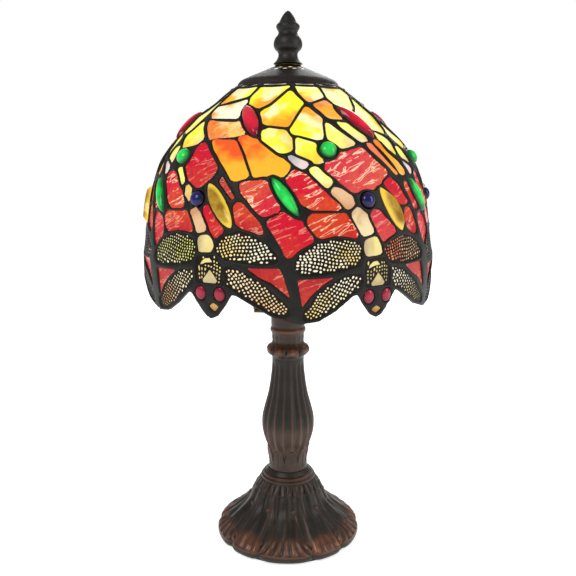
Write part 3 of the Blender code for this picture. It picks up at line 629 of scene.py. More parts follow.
def grid_inside(loop, spacing, margin):
    """Points of a hexagonal grid inside the loop and at least margin from its edge."""
    low, high = loop.min(axis=0), loop.max(axis=0)
    rows = []
    for k in range(int((high[1] - low[1]) / spacing) + 2):
        across = np.arange(low[0] + spacing / 2 * (k % 2), high[0], spacing)
        rows.append(np.stack([across, np.full_like(across, low[1] + k * spacing)], axis=1))
    found = np.concatenate(rows)
    found = found[in_loops(found, [loop])]
    if not len(found):
        return found
    edge = [(*p, 0) for p in densified(loop, spacing / 3)]
    return found[nearest_distances([(*p, 0) for p in found], edge) > margin]


# ---- Meshes ----

class Build:
    """Gathers points, faces and per-point values, then makes one object of them."""

    def __init__(self):
        self.points, self.faces, self.values = [], [], {}

    def add(self, points, faces, **values):
        start = len(self.points)
        self.points += [tuple(p) for p in points]
        self.faces += [tuple(start + i for i in face) for face in faces]
        for name, value in values.items():
            rows = np.asarray(value, float)
            if rows.ndim == 0 or (rows.ndim == 1 and len(rows) != len(points)):
                rows = np.broadcast_to(rows, (len(points), *rows.shape))
            self.values.setdefault(name, []).append(rows)

    def make(self, name, material, body, replaces=(), smooth=40, weld=0.0):
        mesh = bpy.data.meshes.new(name)
        mesh.from_pydata([Vector(p) * MM for p in self.points], [], self.faces)
        for key, rows in self.values.items():
            rows = np.concatenate(rows)
            kind = "FLOAT" if rows.ndim == 1 else "FLOAT_VECTOR"
            field = "value" if rows.ndim == 1 else "vector"
            mesh.attributes.new(key, kind, "POINT").data.foreach_set(field, rows.astype(np.float32).ravel())
        bm = bmesh.new()
        bm.from_mesh(mesh)
        if weld:
            bmesh.ops.remove_doubles(bm, verts=bm.verts, dist=weld * MM)
        bmesh.ops.recalc_face_normals(bm, faces=bm.faces)
        bm.to_mesh(mesh)
        bm.free()
        mesh.shade_smooth()
        mesh.set_sharp_from_angle(angle=math.radians(smooth))
        mesh.materials.append(material)
        obj = bpy.data.objects.new(name, mesh)
        bpy.context.collection.objects.link(obj)
        return placed(obj, body, replaces)


def placed(obj, body, replaces=()):
    """Puts a finished piece on its CAD body."""
    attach(obj, body)
    if replaces:
        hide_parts(*replaces)
    return obj


def plate(triangles, top, bottom):
    """(points, faces) of a closed plate from one triangulation lifted to two heights."""
    count = len(top)
    sides, faces = Counter(), []
    for a, b, c in triangles.tolist():
        faces += [(a, b, c), (c + count, b + count, a + count)]
        sides.update(tuple(sorted(pair)) for pair in ((a, b), (b, c), (c, a)))
    faces += [(q, p, p + count, q + count) for (p, q), uses in sides.items() if uses == 1]
    return np.concatenate([top, bottom]), faces


def lofted(rows, closed=True):
    """(points, faces) through rings of points, joined last to first, or else with a face at each end."""
    count, around = len(rows), len(rows[0])
    faces = []
    for i in range(count if closed else count - 1):
        low, high = i * around, (i + 1) % count * around
        for k in range(around):
            j = (k + 1) % around
            faces.append((low + k, low + j, high + j, high + k))
    if not closed:
        faces += [tuple(range(around))[::-1], tuple((count - 1) * around + k for k in range(around))]
    return np.concatenate(rows), faces


def circle(count):
    """Even angles round the axis, in degrees."""
    return np.arange(count) * 360 / count


def turned(name, profile, material, body, replaces=(), segments=72, smooth=40):
    """A plain solid of revolution from a closed loop of (radius, height)."""
    angles = circle(segments)
    points, faces = lofted([around_axis(r, z, angles) for r, z in profile])
    build = Build()
    build.add(points, faces)
    return build.make(name, material, body, replaces, smooth, weld=0.01)


def smooth_profile(profile, step):
    surface = Surface(profile)
    distances = np.linspace(0, surface.length, max(8, round(surface.length / step)))
    return np.stack(surface.section(distances), axis=1).tolist()


# ---- Materials ----

class Shader:
    """A node material under construction. A value given to an input is set, and a socket is linked."""

    def __init__(self, name):
        self.material = bpy.data.materials.new(name)
        self.material.use_nodes = True
        self.tree = self.material.node_tree
        self.tree.nodes.clear()
        self.coordinates = self.node("ShaderNodeTexCoord").outputs["Object"]

    def node(self, kind, values=(), **settings):
        node = self.tree.nodes.new(kind)
        for key, value in settings.items():
            setattr(node, key, value)
        for key, value in dict(values).items():
            if isinstance(value, bpy.types.NodeSocket):
                self.tree.links.new(value, node.inputs[key])
            else:
                node.inputs[key].default_value = value
        return node

    def maths(self, operation, *values, clamp=False):
        return self.node("ShaderNodeMath", enumerate(values), operation=operation, use_clamp=clamp).outputs[0]

    def mix(self, share, first, second, blend="MIX"):
        node = self.node("ShaderNodeMix", {0: share, 6: first, 7: second}, data_type="RGBA", blend_type=blend)
        return node.outputs[2]

    def attribute(self, name, output="Fac"):
        return self.node("ShaderNodeAttribute", attribute_name=name).outputs[output]

    def noise(self, scale, detail=4.0, vector=None, roughness=0.55, distortion=0.0):
        values = {"Vector": vector or self.coordinates, "Scale": scale, "Detail": detail}
        values |= {"Roughness": roughness, "Distortion": distortion}
        return self.node("ShaderNodeTexNoise", values).outputs["Fac"]

    def ramp(self, value, *stops):
        """The value mapped through (position, grey) stops."""
        node = self.node("ShaderNodeValToRGB", {"Fac": value})
        elements = node.color_ramp.elements
        while len(elements) < len(stops):
            elements.new(0.5)
        for element, (position, grey) in zip(elements, stops):
            element.position = position
            element.color = (grey, grey, grey, 1)
        return node.outputs["Color"]

    def bump(self, height, depth, strength=1.0):
        values = {"Height": height, "Distance": depth * MM, "Strength": strength}
        return self.node("ShaderNodeBump", values).outputs["Normal"]

    def finish(self, **inputs):
        values = {key.replace("_", " "): value for key, value in inputs.items()}
        surface = self.node("ShaderNodeBsdfPrincipled", values).outputs["BSDF"]
        self.node("ShaderNodeOutputMaterial", {"Surface": surface})
        return self.material


def metal_material(name, base, light, gloss, metallic, shine=0.5, depth=0.05, worn=None, patina=None):
    """Metal mottled between two colours, darker by its darkening value and polished where it is worn."""
    shader = Shader(name)
    cloud = shader.ramp(shader.noise(90, 6, distortion=0.4), (0.35, 0.0), (0.7, 1.0))
    fine = shader.noise(900, 5)
    tint = shader.mix(cloud, colour(base), colour(light))
    rough = shader.maths("MULTIPLY_ADD", fine, 0.15, gloss)
    if patina:
        dark = shader.mix(cloud, colour(patina[0]), colour(patina[1]))
        tint = shader.mix(shader.attribute("patina"), tint, dark)
    if worn:
        patches = shader.ramp(shader.noise(60, 4), (0.3, 0.55), (0.62, 1.0))
        bare = shader.maths("MULTIPLY", shader.attribute("worn"), patches, clamp=True)
        tint = shader.mix(bare, tint, colour(worn))
        rough = shader.maths("SUBTRACT", rough, shader.maths("MULTIPLY", bare, 0.12))
        metallic = shader.maths("MULTIPLY_ADD", bare, 0.9 - metallic, metallic)
    normal = shader.bump(fine, depth)
    return shader.finish(
        Base_Color=tint, Roughness=rough, Metallic=metallic, Normal=normal, Specular_IOR_Level=shine
    )


def cut_glass_material():
    """Opalescent glass whose light from the bulb behind is painted as emission. Each piece brings its own
    colours, fade, streaks and crinkle.
    """
    shader = Shader("opalescent glass")
    grain = shader.attribute("grain", "Vector")
    values = {"Vector": grain, "Rotation": (0, 0, math.radians(-26)), "Scale": (13.0, 2.9, 1.0)}
    flow = shader.node("ShaderNodeMapping", values, vector_type="TEXTURE").outputs["Vector"]
    swirl = shader.noise(1.0, 2, flow, 0.45, 0.7)
    cloud = shader.noise(0.085, 2, grain, 0.45, 0.9)
    fine = shader.noise(0.55, 4, grain, 0.6, 0.8)
    fade = shader.maths("ADD", shader.attribute("fade"), shader.maths("MULTIPLY_ADD", cloud, 1.1, -0.55))
    second = shader.ramp(fade, (0.4, 0.0), (0.82, 1.0))
    tint = shader.mix(second, shader.attribute("tint_a", "Color"), shader.attribute("tint_b", "Color"))
    band = shader.ramp(swirl, (0.555, 0.0), (0.585, 1.0), (0.605, 0.9), (0.635, 0.0), (0.7, 0.0), (0.73, 0.9))
    streaks = shader.maths("MULTIPLY", band, shader.attribute("streak"))
    tint = shader.mix(streaks, tint, shader.attribute("vein", "Color"))
    # Painted white glare of the bulb, in patches, as much as each piece's share.
    glare_patches = shader.ramp(shader.noise(0.075, 2, grain, 0.35, 0.5), (0.47, 0.0), (0.6, 1.0))
    tint = shader.mix(shader.maths("MULTIPLY", glare_patches, shader.attribute("milk")), tint, colour("FFFFDE"))
    # Painted shade in the folds of the crinkle.
    folds = shader.ramp(fine, (0.38, 0.0), (0.66, 1.0))
    crinkle = shader.maths("MULTIPLY", folds, shader.attribute("crinkle"))
    shadow = shader.mix(shader.maths("MULTIPLY", crinkle, 0.75), (1, 1, 1, 1), colour("C0504A"))
    tint = shader.mix(1.0, tint, shadow, "MULTIPLY")
    # The bulb's light through the glass is painted: the base colour is dimmed and the colour glows as
    # emission.
    return shader.finish(
        Base_Color=shader.mix(1.0, tint, (0.25, 0.25, 0.25, 1), "MULTIPLY"), Emission_Color=tint,
        Emission_Strength=0.9, Roughness=0.22, Normal=shader.bump(fine, 0.25, 0.5), Specular_IOR_Level=0.16,
    )


def jewel_material(name, deep, bright, glow):
    """Pressed glass that glows with painted light from the bulb behind, going from its deep colour at the
    girdle to its bright one on top as painted light through the dome, with soft painted lit patches.
    """
    shader = Shader(name)
    patches = shader.maths("MULTIPLY_ADD", shader.noise(160, 3), 0.9, -0.55)
    level = shader.maths("ADD", shader.attribute("rise"), patches)
    tint = shader.mix(shader.ramp(level, (0.3, 0.0), (1.0, 1.0)), colour(deep), colour(bright))
    # The bulb's light through the jewel is painted as emission over a dimmed base colour.
    return shader.finish(
        Base_Color=shader.mix(1.0, tint, (0.3, 0.3, 0.3, 1), "MULTIPLY"), Emission_Color=tint,
        Emission_Strength=glow, Roughness=0.1, Normal=shader.bump(shader.noise(260, 2), 0.06),
        Specular_IOR_Level=0.35,
    )


def soft_material(name, base, light, scale, rough, depth=0.1):
    """A matt or moulded finish with fine grain."""
    shader = Shader(name)
    grain = shader.noise(scale, 6)
    return shader.finish(
        Base_Color=shader.mix(grain, colour(base), colour(light)), Roughness=rough,
        Normal=shader.bump(grain, depth),
    )


def bulb_material():
    shader = Shader("lit frosted bulb")
    height = shader.node("ShaderNodeSeparateXYZ", {"Vector": shader.coordinates}).outputs["Z"]
    values = {"Value": height, "From Min": 0.224, "From Max": 0.256}
    band = shader.node("ShaderNodeMapRange", values).outputs[0]
    tint = shader.mix(band, colour("FFC888"), colour("FFEBC0"))
    grain = shader.noise(1500, 3)
    strength = shader.maths("MULTIPLY_ADD", band, 0.12, 0.85)
    return shader.finish(
        Base_Color=colour("4A4436"), Roughness=0.45, Emission_Color=tint, Emission_Strength=strength,
        Normal=shader.bump(grain, 0.05),
    )


def floor_material():
    shader = Shader("pale floor")
    grain = shader.noise(40, 4)
    return shader.finish(
        Base_Color=shader.mix(grain, (0.93, 0.93, 0.93, 1), (0.95, 0.95, 0.95, 1)), Roughness=0.9,
        Emission_Color=(1, 1, 1, 1), Emission_Strength=0.62, Specular_IOR_Level=0.1,
    )


# ---- The shade's lead net ----

def rim(angle):
    """Distance down the shade at which its scalloped rim lies."""
    ends = [u for u, _ in RIM]
    depths = [s for _, s in RIM]
    return np.interp(np.asarray(angle, float) - HEADS["first"], ends, depths, period=360 / SECTORS)


def spiral(kind, turn=0.0):
    """Points down the lead line where a sector of this kind begins."""
    knots = np.array(SPIRALS[kind])
    distances = np.concatenate([[NET_TOP], np.arange(NET_TOP + 3, knots[-1, 1] - 1, 3), [knots[-1, 1]]])
    return np.stack([np.interp(distances, knots[:, 1], knots[:, 0]) + turn, distances], axis=1)


def sector_outline(kind):
    """The edge of one sector: down its spiral, along the rim, up the next spiral and back along the top."""
    left = spiral(kind)
    right = spiral("second") if kind == "first" else spiral("first", KIND_TURN)
    start, end = left[-1, 0], right[-1, 0]
    along = np.linspace(start, end, round((end - start) / RIM_STEP * 1.7))[1:-1]
    rim_points = np.stack([along, rim(along)], axis=1)
    top = np.linspace(right[0, 0], left[0, 0], 26)[1:-1]
    top_points = np.stack([top, np.full_like(top, NET_TOP)], axis=1)
    return np.concatenate([left, rim_points, right[::-1], top_points])


def clipped(outline):
    """The outline kept clear of the rim."""
    outline = np.array(outline, float)
    outline[:, 1] = np.minimum(outline[:, 1], rim(outline[:, 0]) - RIM_MARGIN)
    return outline


def marquise(length, width, tilt, count=36):
    """A pointed or round outline in flat millimetres. Tilt turns its upper end to the left."""
    turn = np.arange(count) * math.tau / count
    pointed = length > width * 1.2
    x = width / 2 * np.sign(np.sin(turn)) * np.abs(np.sin(turn)) ** (1.25 if pointed else 1.0)
    y = length / 2 * np.cos(turn)
    c, s = math.cos(math.radians(tilt)), math.sin(math.radians(tilt))
    return np.stack([x * c + y * s, -x * s + y * c], axis=1)


def shape_at(angle, distance, loop):
    """A flat outline placed on the shade, as (angle, distance) points."""
    patch = Patch(SHADE, angle)
    return patch.unflat(loop + np.array([0.0, distance]))


def window(outline):
    """The opening in the net for a cut piece, in (angle, distance)."""
    outline = clipped(outline)
    patch = patch_round(outline)
    return patch.unflat(densified(rounded(patch.flat(outline)), EDGE_STEP))


def at_head(kind, outline):
    """An outline drawn from the head's middle, put at the head of this kind of sector."""
    return [(HEADS[kind] + a, s + HEAD_DROP[kind]) for a, s in outline]


def jewel_outlines(kind):
    found = []
    for _, of_kind, angle, distance, length, width, tilt, *_ in JEWELS:
        if of_kind == kind:
            found.append(shape_at(angle, distance, marquise(length, width, tilt)))
    return found


def drawn_windows(kind):
    """Each opening of a sector as drawn, and how far it may grow: pieces, wings, body, eyes, jewels."""
    found = []
    for glass, _, outline in PIECES[kind]:
        found.append((window(outline), 0 if glass in FIXED_GLASS else GROW_MOST))
    found += [(window(outline), WING_GROW) for _, _, outline in WINGS[kind]]
    found.append((window(at_head(kind, BODY_OUTLINE)), 0))
    eye = marquise(*EYE_SIZE, 0, EYE_POINTS)
    fixed = [shape_at(*place, eye) for place in at_head(kind, EYES)] + jewel_outlines(kind)
    return found + [(loop, 0) for loop in fixed]


def room_round(loop, owner, crowd, owners, grows, seams):
    """How far each point of the opening can move out before its lead line is too narrow."""
    own = SHADE.points(*loop.T)
    gaps = np.linalg.norm(own[:, None] - crowd[None], axis=2)
    gaps[:, owners == owner] = 1e3
    nearest = gaps.argmin(axis=1)
    excess = gaps[np.arange(len(own)), nearest] - LEAD_LINE
    room = np.clip(excess * np.where(grows[nearest] > 0, 0.5, 0.9), 0, None)
    seam = np.linalg.norm(own[:, None] - seams[None], axis=2).min(axis=1) - SEAM_CLEAR
    return np.minimum(room, np.clip(seam, 0, None))


def owner_number(kind, number, turn):
    """A number of its own for each opening at each of its places."""
    return (list(HEADS).index(kind) * 1000 + number) * 4 + round(turn / KIND_TURN)


def grown_windows():
    """The openings of each kind of sector, grown so that the lead lines between them are narrow."""
    drawn = {kind: drawn_windows(kind) for kind in HEADS}
    crowd, owners, grows = [], [], []
    for kind, loops in drawn.items():
        for number, (loop, growth) in enumerate(loops):
            for turn in (-KIND_TURN, 0, KIND_TURN):
                crowd.append(SHADE.points(*(loop + [turn, 0]).T))
                owners += [owner_number(kind, number, turn)] * len(loop)
                grows += [growth] * len(loop)
    crowd, owners, grows = np.concatenate(crowd), np.array(owners), np.array(grows)
    result = {}
    for kind, loops in drawn.items():
        seam = densified(sector_outline(kind), 1.0)
        seam = seam[seam[:, 1] < rim(seam[:, 0]) - 0.5]
        seams = SHADE.points(*seam.T)
        result[kind] = []
        for number, (loop, growth) in enumerate(loops):
            if growth:
                room = room_round(loop, owner_number(kind, number, 0), crowd, owners, grows, seams)
                room = np.minimum(room, growth)
                room = np.minimum(room, (np.roll(room, 1) + 2 * room + np.roll(room, -1)) / 4)
                patch = patch_round(loop)
                flat = patch.flat(loop)
                loop = clipped(patch.unflat(flat + outward(flat) * room[:, None]))
            result[kind].append(loop)
    return result


def ring_points(openings):
    """Points round each opening that carry the bead's rounded shoulder."""
    found = []
    for loop in openings:
        patch = patch_round(loop)
        flat = densified(patch.flat(loop), EDGE_STEP * 0.75)
        found += [patch.unflat(expanded(flat, offset)) for offset in RING_OFFSETS]
    return np.concatenate(found)


def bead(distances, edge, crown):
    """Lift of a rounded solder bead at these distances from its edge."""
    share = np.clip(distances / BEAD_RADIUS, 0, 1)
    return edge + (crown - edge) * np.sqrt(1 - (1 - share) ** 2)


def sector_net(kind, openings):
    """(angle-distance points, triangles) of one sector of the net."""
    patch = Patch(SHADE, HEADS[kind] + MIDDLE_FROM_HEAD)
    border = sector_outline(kind)
    outer = patch.flat(border)
    holes = [patch.flat(loop) for loop in openings]
    free = np.concatenate([ring_points(openings), patch.unflat(grid_inside(outer, LEAD_GRID, GRID_MARGIN))])
    flat = patch.flat(free)
    flat = flat[in_loops(flat, [outer]) & ~in_loops(flat, holes)]
    edges = SHADE.points(*np.concatenate([border, *openings]).T)
    clear = nearest_distances(patch.lifted(flat, 0.0), edges) > FREE_CLEAR
    flat = flat[clear]
    _, kept = np.unique(np.round(flat / THINNED).astype(int), axis=0, return_index=True)
    corners, triangles = triangulated([outer, *holes], flat[kept])
    return patch.unflat(corners), triangles


def lead_net(material, windows):
    """The whole net: both kinds of sector, each at its three places, joined along the spirals."""
    places, faces, edge = [], [], []
    for kind, openings in windows.items():
        corners, triangles = sector_net(kind, openings)
        top, low = np.linspace(*TOP_ANGLES), np.linspace(*RIM_ANGLES)
        border = [densified(loop, 0.8) for loop in openings]
        border += [np.stack([low, rim(low)], axis=1), np.stack([top, np.full_like(top, NET_TOP)], axis=1)]
        border = np.concatenate(border)
        for k in range(SECTORS // 2):
            faces.append(triangles + sum(len(p) for p in places))
            places.append(corners + np.array([KIND_TURN * k, 0]))
            edge.append(border + np.array([KIND_TURN * k, 0]))
    places, faces = np.concatenate(places), np.concatenate(faces)
    keys = np.stack([np.round(places[:, 0] % 360, 3) % 360, np.round(places[:, 1], 3)], axis=1)
    _, first, same = np.unique(keys, axis=0, return_index=True, return_inverse=True)
    places, faces = places[first], same.reshape(-1)[faces]
    distances = nearest_distances(SHADE.points(*places.T), SHADE.points(*np.concatenate(edge).T))
    shoulder = np.clip((places[:, 1] - NET_TOP) / 4, 0.25, 1)
    top = SHADE.points(*places.T, bead(distances, LEAD_EDGE, LEAD_OUT * shoulder))
    bottom = SHADE.points(*places.T, bead(distances, LEAD_IN_EDGE, LEAD_IN))
    build = Build()
    build.add(*plate(faces, top, bottom))
    return build.make("lead_net", material, "shade", ["shade_lattice"], 50)


# ---- Glass, filigree and jewels ----

def side_share(flat, side):
    """0 to 1 across the outline towards this side."""
    direction = np.array([math.cos(math.radians(side)), math.sin(math.radians(side))])
    along = flat @ direction
    return (along - along.min()) / max(np.ptp(along), 1e-6)


def add_glass(build, rng, opening, glass, side, face, turn, curved=False):
    """Adds one cut piece, flat or following the shade, that reaches under the lead round it."""
    main, second, milk, streak, crinkle = GLASS_KINDS[glass]
    patch = patch_round(opening)
    flat = patch.flat(opening)
    loop = flat + outward(flat) * GLASS_HOLD
    loop[:, 1] = np.maximum(loop[:, 1], NET_TOP + 0.5)
    inner = grid_inside(loop, WING_GRID, 1.5) if curved else np.empty((0, 2))
    flat, triangles = triangulated([loop], inner)
    front = patch.lifted(flat, face)
    if curved:
        back = patch.lifted(flat, GLASS_BACK)
    else:
        middle = front.mean(axis=0)
        normal = np.linalg.svd(front - middle)[2][2]
        normal *= np.sign(normal @ (middle - [0, 0, SHADE_MIDDLE]))
        front = front - np.outer((front - middle) @ normal, normal)
        back = front - normal * (GLASS_FACE - GLASS_BACK)
    points, faces = plate(triangles, spun(front, turn), spun(back, turn))
    offset = [rng.uniform(0, GRAIN_SPREAD) for _ in range(3)]
    grain = np.column_stack([np.tile(flat, (2, 1)), np.zeros(len(points))]) + offset
    build.add(
        points, faces, grain=grain, fade=np.tile(side_share(flat, side), 2), tint_a=colour(main)[:3],
        tint_b=colour(second)[:3], vein=colour(VEINS.get(glass, PALE_VEIN))[:3], milk=milk, streak=streak,
        crinkle=crinkle,
    )


def cut_glass(material, windows):
    """The cut glass of each sector, as one piece."""
    for index, kind, turn in sectors():
        rng = random.Random(index)
        build = Build()
        openings = iter(windows[kind])
        for glass, side, _ in PIECES[kind]:
            add_glass(build, rng, next(openings), glass, side, GLASS_FACE, turn)
        for lean, glass, _ in WINGS[kind]:
            add_glass(build, rng, next(openings), glass, lean, WING_GLASS_FACE, turn, curved=True)
        add_glass(build, rng, next(openings), "body", 90, WING_GLASS_FACE, turn, curved=True)
        name = f"glass_panel_{index + 1}"
        build.make(f"cut_glass_{index + 1}", material, "shade", [name], 30)


def oval(centre, length, width, lean, count=9):
    turn = np.arange(count) * math.tau / count
    x, y = length / 2 * np.cos(turn), width / 2 * np.sin(turn)
    c, s = math.cos(math.radians(lean)), math.sin(math.radians(lean))
    return np.stack([centre[0] + x * c - y * s, centre[1] + x * s + y * c], axis=1)


def pebble_holes(loop, lean, rng, keep_clear=()):
    """Pebble-like piercings in wavy rows, small and round at the top edge, larger and longer at the rim."""
    c, s = math.cos(math.radians(lean)), math.sin(math.radians(lean))
    spin = np.array([[c, s], [-s, c]])
    middle = (loop.min(axis=0) + loop.max(axis=0)) / 2
    edges = np.concatenate([densified(other, 0.4) for other in (loop, *keep_clear)])
    across_wing = (loop - middle) @ spin.T[:, 1]
    low, high = across_wing.min(), across_wing.max()
    holes = []
    across = low + 0.9
    while across < high:
        share = (across - low) / (high - low)
        grow = (share if c > 0 else 1 - share) ** 1.6
        along = -HALF_SPAN + rng.uniform(0, 2.2)
        while along < HALF_SPAN:
            length = rng.uniform(*HOLE_SIZE) + grow * max(0.0, rng.gauss(0.3, 1.1))
            wave = 0.55 * math.sin(along / 3.7 + across * 0.22) + rng.uniform(-0.2, 0.2)
            place = np.array([along + length / 2, across + wave]) @ spin + middle
            clearance = np.hypot(*(edges - place).T).min()
            if clearance > HOLE_CLEAR and in_loops([place], [loop, *keep_clear])[0]:
                squeeze = min(1.0, (clearance - 0.25) / (0.5 * length))
                width = rng.uniform(*HOLE_SIZE) + 0.25 * grow
                holes.append(oval(place, length * squeeze, width * squeeze, lean + rng.uniform(-14, 14)))
            along += length + rng.uniform(*HOLE_GAP)
        across += HOLE_ROW + 0.35 * grow
    return holes


def add_filigree(build, patch, loop, holes, turn):
    """Adds a pierced metal plate over a wing or body, with softened edges on each hole."""
    loop = loop + outward(loop) * FILIGREE_LAP
    flat, triangles = triangulated([densified(loop, RIM_STEP), *holes], [])
    border = [(*p, 0) for hole in holes for p in hole]
    shoulder = np.clip(nearest_distances([(*p, 0) for p in flat], border) / 0.3, 0, 1)
    top = patch.lifted(flat, FILIGREE_TOP - 0.2 * (1 - shoulder))
    bottom = patch.lifted(flat, FILIGREE_LOW)
    build.add(*plate(triangles, spun(top, turn), spun(bottom, turn)))


def filigree(material, windows):
    """The pierced plates of all wings and bodies."""
    build = Build()
    for index, kind, turn in sectors():
        rng = random.Random(40 + index)
        openings = windows[kind][len(PIECES[kind]):]
        for (lean, _, _), opening in zip(WINGS[kind], openings):
            patch = patch_round(opening)
            loop = patch.flat(opening)
            add_filigree(build, patch, loop, pebble_holes(loop, lean, rng), turn)
        patch = Patch(SHADE, HEADS[kind])
        loop = patch.flat(openings[len(WINGS[kind])])
        holes = [densified(rounded(patch.flat(at_head(kind, outline)), 0.5), 1.0) for outline in BODY_WINDOWS]
        holes += pebble_holes(loop, 90, rng, holes)
        add_filigree(build, patch, loop, holes, turn)
    return build.make("wing_filigree", material, "shade", (), 50)


def dome(angle, distance, outline, height, turn, flat_top=0.0, rings=9):
    """(points, faces, rise) of a jewel over a flat outline, domed or with a flat top, with a shallow back."""
    patch = Patch(SHADE, angle)
    levels = [(0.55, JEWEL_BACK), (0.98, JEWEL_BACK * 0.6), (1.03, 0.2)]
    for k in range(rings + 1):
        inward = k / rings * (1 - flat_top)
        climb = min(1, k / (rings * 0.6)) if flat_top else (1 - (1 - inward) ** 2) ** 0.5
        levels.append((1 - inward, JEWEL_GIRDLE + (height - JEWEL_GIRDLE) * climb))
    rows, rise = [], []
    for scale, lift in levels:
        loop = outline * max(scale, 0.02) + np.array([0, distance])
        rows.append(patch.lifted(loop, lift))
        rise.append(max(0.0, min(1.0, lift / height)))
    points, faces = lofted(rows, closed=False)
    return spun(points, turn), faces, np.repeat(rise, len(outline))


def jewels(materials):
    """Every jewel, each a piece of its own, and the dragonflies' eyes."""
    for index, kind, turn in sectors():
        for name, of_kind, angle, distance, length, width, tilt, height, slot in JEWELS:
            if of_kind != kind:
                continue
            table = GOLD_TABLE if name.startswith("gold") else 0.0
            points, faces, rise = dome(angle, distance, marquise(length, width, tilt), height, turn, table)
            build = Build()
            build.add(points, faces, rise=rise)
            node = f"{name}_{index + 1}"
            build.make(f"{node}_cut", materials[slot], "shade", [node], 25 if table else 60)
        build = Build()
        outline = marquise(*EYE_SIZE, 0, EYE_POINTS)
        for angle, distance in at_head(kind, EYES):
            points, faces, rise = dome(angle, distance, outline, EYE_HEIGHT, turn)
            build.add(points, faces, rise=rise)
        build.make(f"dragonfly_eyes_{index + 1}", materials["eye"], "shade", (), 60)


# ---- Cap ----

def cap(material, glow):
    """The pierced cap, its rolled lip and a glowing sheet behind its vents, painted light seen through them.
    """
    skin = Surface(CAP_SKIN)
    patch = RingPatch(skin, CAP_SKIN[0][0])
    reach = skin.length - 0.5
    angles = circle(CAP_SIDES)
    outer = patch.flat([(angle, reach) for angle in angles])
    inner = patch.flat([(angle, 0) for angle in angles[::3]])
    slots = []
    for radius, count, start in VENT_ROWS:
        for k in range(count):
            turn = start + k * 360 / count
            centre = radius * np.array([math.sin(math.radians(turn)), -math.cos(math.radians(turn))])
            slots.append(oval(centre, *VENT_SIZE, turn + VENT_LEAN, 12))
    free = []
    for r in np.arange(6, reach + 3, 1.5):
        free += [(r * math.sin(a), -r * math.cos(a)) for a in np.arange(0, math.tau, 2.4 / r)]
    free = np.array(free)
    free = free[in_loops(free, [outer]) & ~in_loops(free, [inner, *slots])]
    flat, triangles = triangulated([outer, inner, *slots], free)
    build = Build()
    build.add(*plate(triangles, patch.lifted(flat, 0.0), patch.lifted(flat, -CAP_THICK)))
    radius, height, thick = CAP_RIM
    lip = []
    for t in np.arange(12) * math.tau / 12:
        lip.append(around_axis(radius + thick * math.cos(t), height + thick * math.sin(t), angles))
    build.add(*lofted(lip))
    build.make("pierced_cap", material, "shade", ["top_cap"], 50)
    # A glowing sheet under the vents: painted light seen through them.
    vent_glow = Build()
    front, back = VENT_GLOW_LIFTS
    rows = [(r, front) for r in VENT_GLOW_RADII] + [(r, back) for r in reversed(VENT_GLOW_RADII)]
    vent_glow.add(*lofted([skin.points(circle(72), r - CAP_SKIN[0][0], lift) for r, lift in rows]))
    vent_glow.make("vent_glow_sheet", glow, "shade", (), 40)


# ---- Column and base ----

def step_up(value, low, high):
    """0 below low and 1 above high, with a smooth rise between them."""
    t = np.clip((value - low) / (high - low), 0, 1)
    return t * t * (3 - 2 * t)


def within(value, start, full, still_full, end):
    """1 inside the span and 0 outside it, with soft ends."""
    return step_up(value, start, full) * (1 - step_up(value, still_full, end))


def hill(value, middle, width, power=2):
    """1 at the middle, falling softly to 0 on both sides."""
    return np.exp(-(((value - middle) / width) ** power))


def carved(name, skin, inner, relief, grid, material, node):
    """A turned casting, carved by relief(angle, height, radius), which gives (lift, worn, darkening)."""
    segments, rows = grid
    surface = Surface(skin)
    angles = circle(segments)
    angle, distance = np.meshgrid(angles, np.linspace(0, surface.length, rows))
    radius, height = surface.section(distance)
    lift, worn, patina = relief(angle, height, radius)
    points = surface.points(angle, distance, lift).reshape(-1, 3)
    hidden = np.concatenate([around_axis(r, z, angles) for r, z in inner])
    points, faces = lofted([*np.concatenate([points, hidden]).reshape(-1, segments, 3)])
    build = Build()
    unseen = np.zeros(len(hidden))
    build.add(points, faces, worn=np.append(worn.ravel(), unseen), patina=np.append(patina.ravel(), unseen))
    return build.make(name, material, "root", [node], 60)


def repeat_share(angle, pitch, start):
    """Place within a repeat round the axis, from -1 to 1 with 0 at its middle."""
    return (((angle - start) / pitch + 0.5) % 1 - 0.5) * 2


def column_relief(angle, height, radius):
    lift = np.zeros_like(height)
    worn = np.zeros_like(height)
    # Concave flutes between narrow ridges.
    across = repeat_share(angle, 360 / FLUTES, FLUTE_TURN)
    body = within(height, *FLUTE_SPAN)
    lift -= FLUTE_DEPTH * radius / COLUMN_WIDEST * np.abs(across) ** 0.75 * body
    ridge = hill(across, 0, 0.2) * body
    worn += ridge * (0.32 - 0.16 * step_up(height, 84, 120))
    # Petals standing up round the foot.
    petal = repeat_share(angle, 360 / PETALS, FLUTE_TURN)
    tip = PETAL_FOOT + PETAL_RISE * np.sqrt(np.clip(1 - petal**2, 0, 1))
    inside = step_up(tip - height, -0.3, 0.9)
    border = hill(tip - height, 1.0, 0.9)
    foot = 1 - step_up(height, 70, 73)
    vein = 0.5 * hill(petal, 0, 0.12) * inside
    lift += (0.55 * inside + 0.55 * border - vein) * foot * step_up(height, 53, 55)
    worn += border * foot * 0.25
    # Gadroons round the upper ring.
    lobe = repeat_share(angle, 360 / RING_LOBES, RING_TURN)
    lift += (-1.9 * np.abs(lobe) ** 5 + 0.1) * hill(height, RING_HEIGHT, 3.4, 4)
    worn += np.clip(1 - np.abs(lobe) * 1.6, 0, 1) * hill(height, 144.6, 2.2) * 0.9
    # Fine flutes above it and a plain bead.
    lift -= 0.45 * np.abs(across) ** 0.8 * within(height, *NECK_SPAN)
    worn += 0.45 * hill(height, BEAD_HEIGHT, 1.1)
    # Darker over the fluted part of the column.
    return lift, np.clip(worn, 0, 1), within(height, *DARK_SPAN)


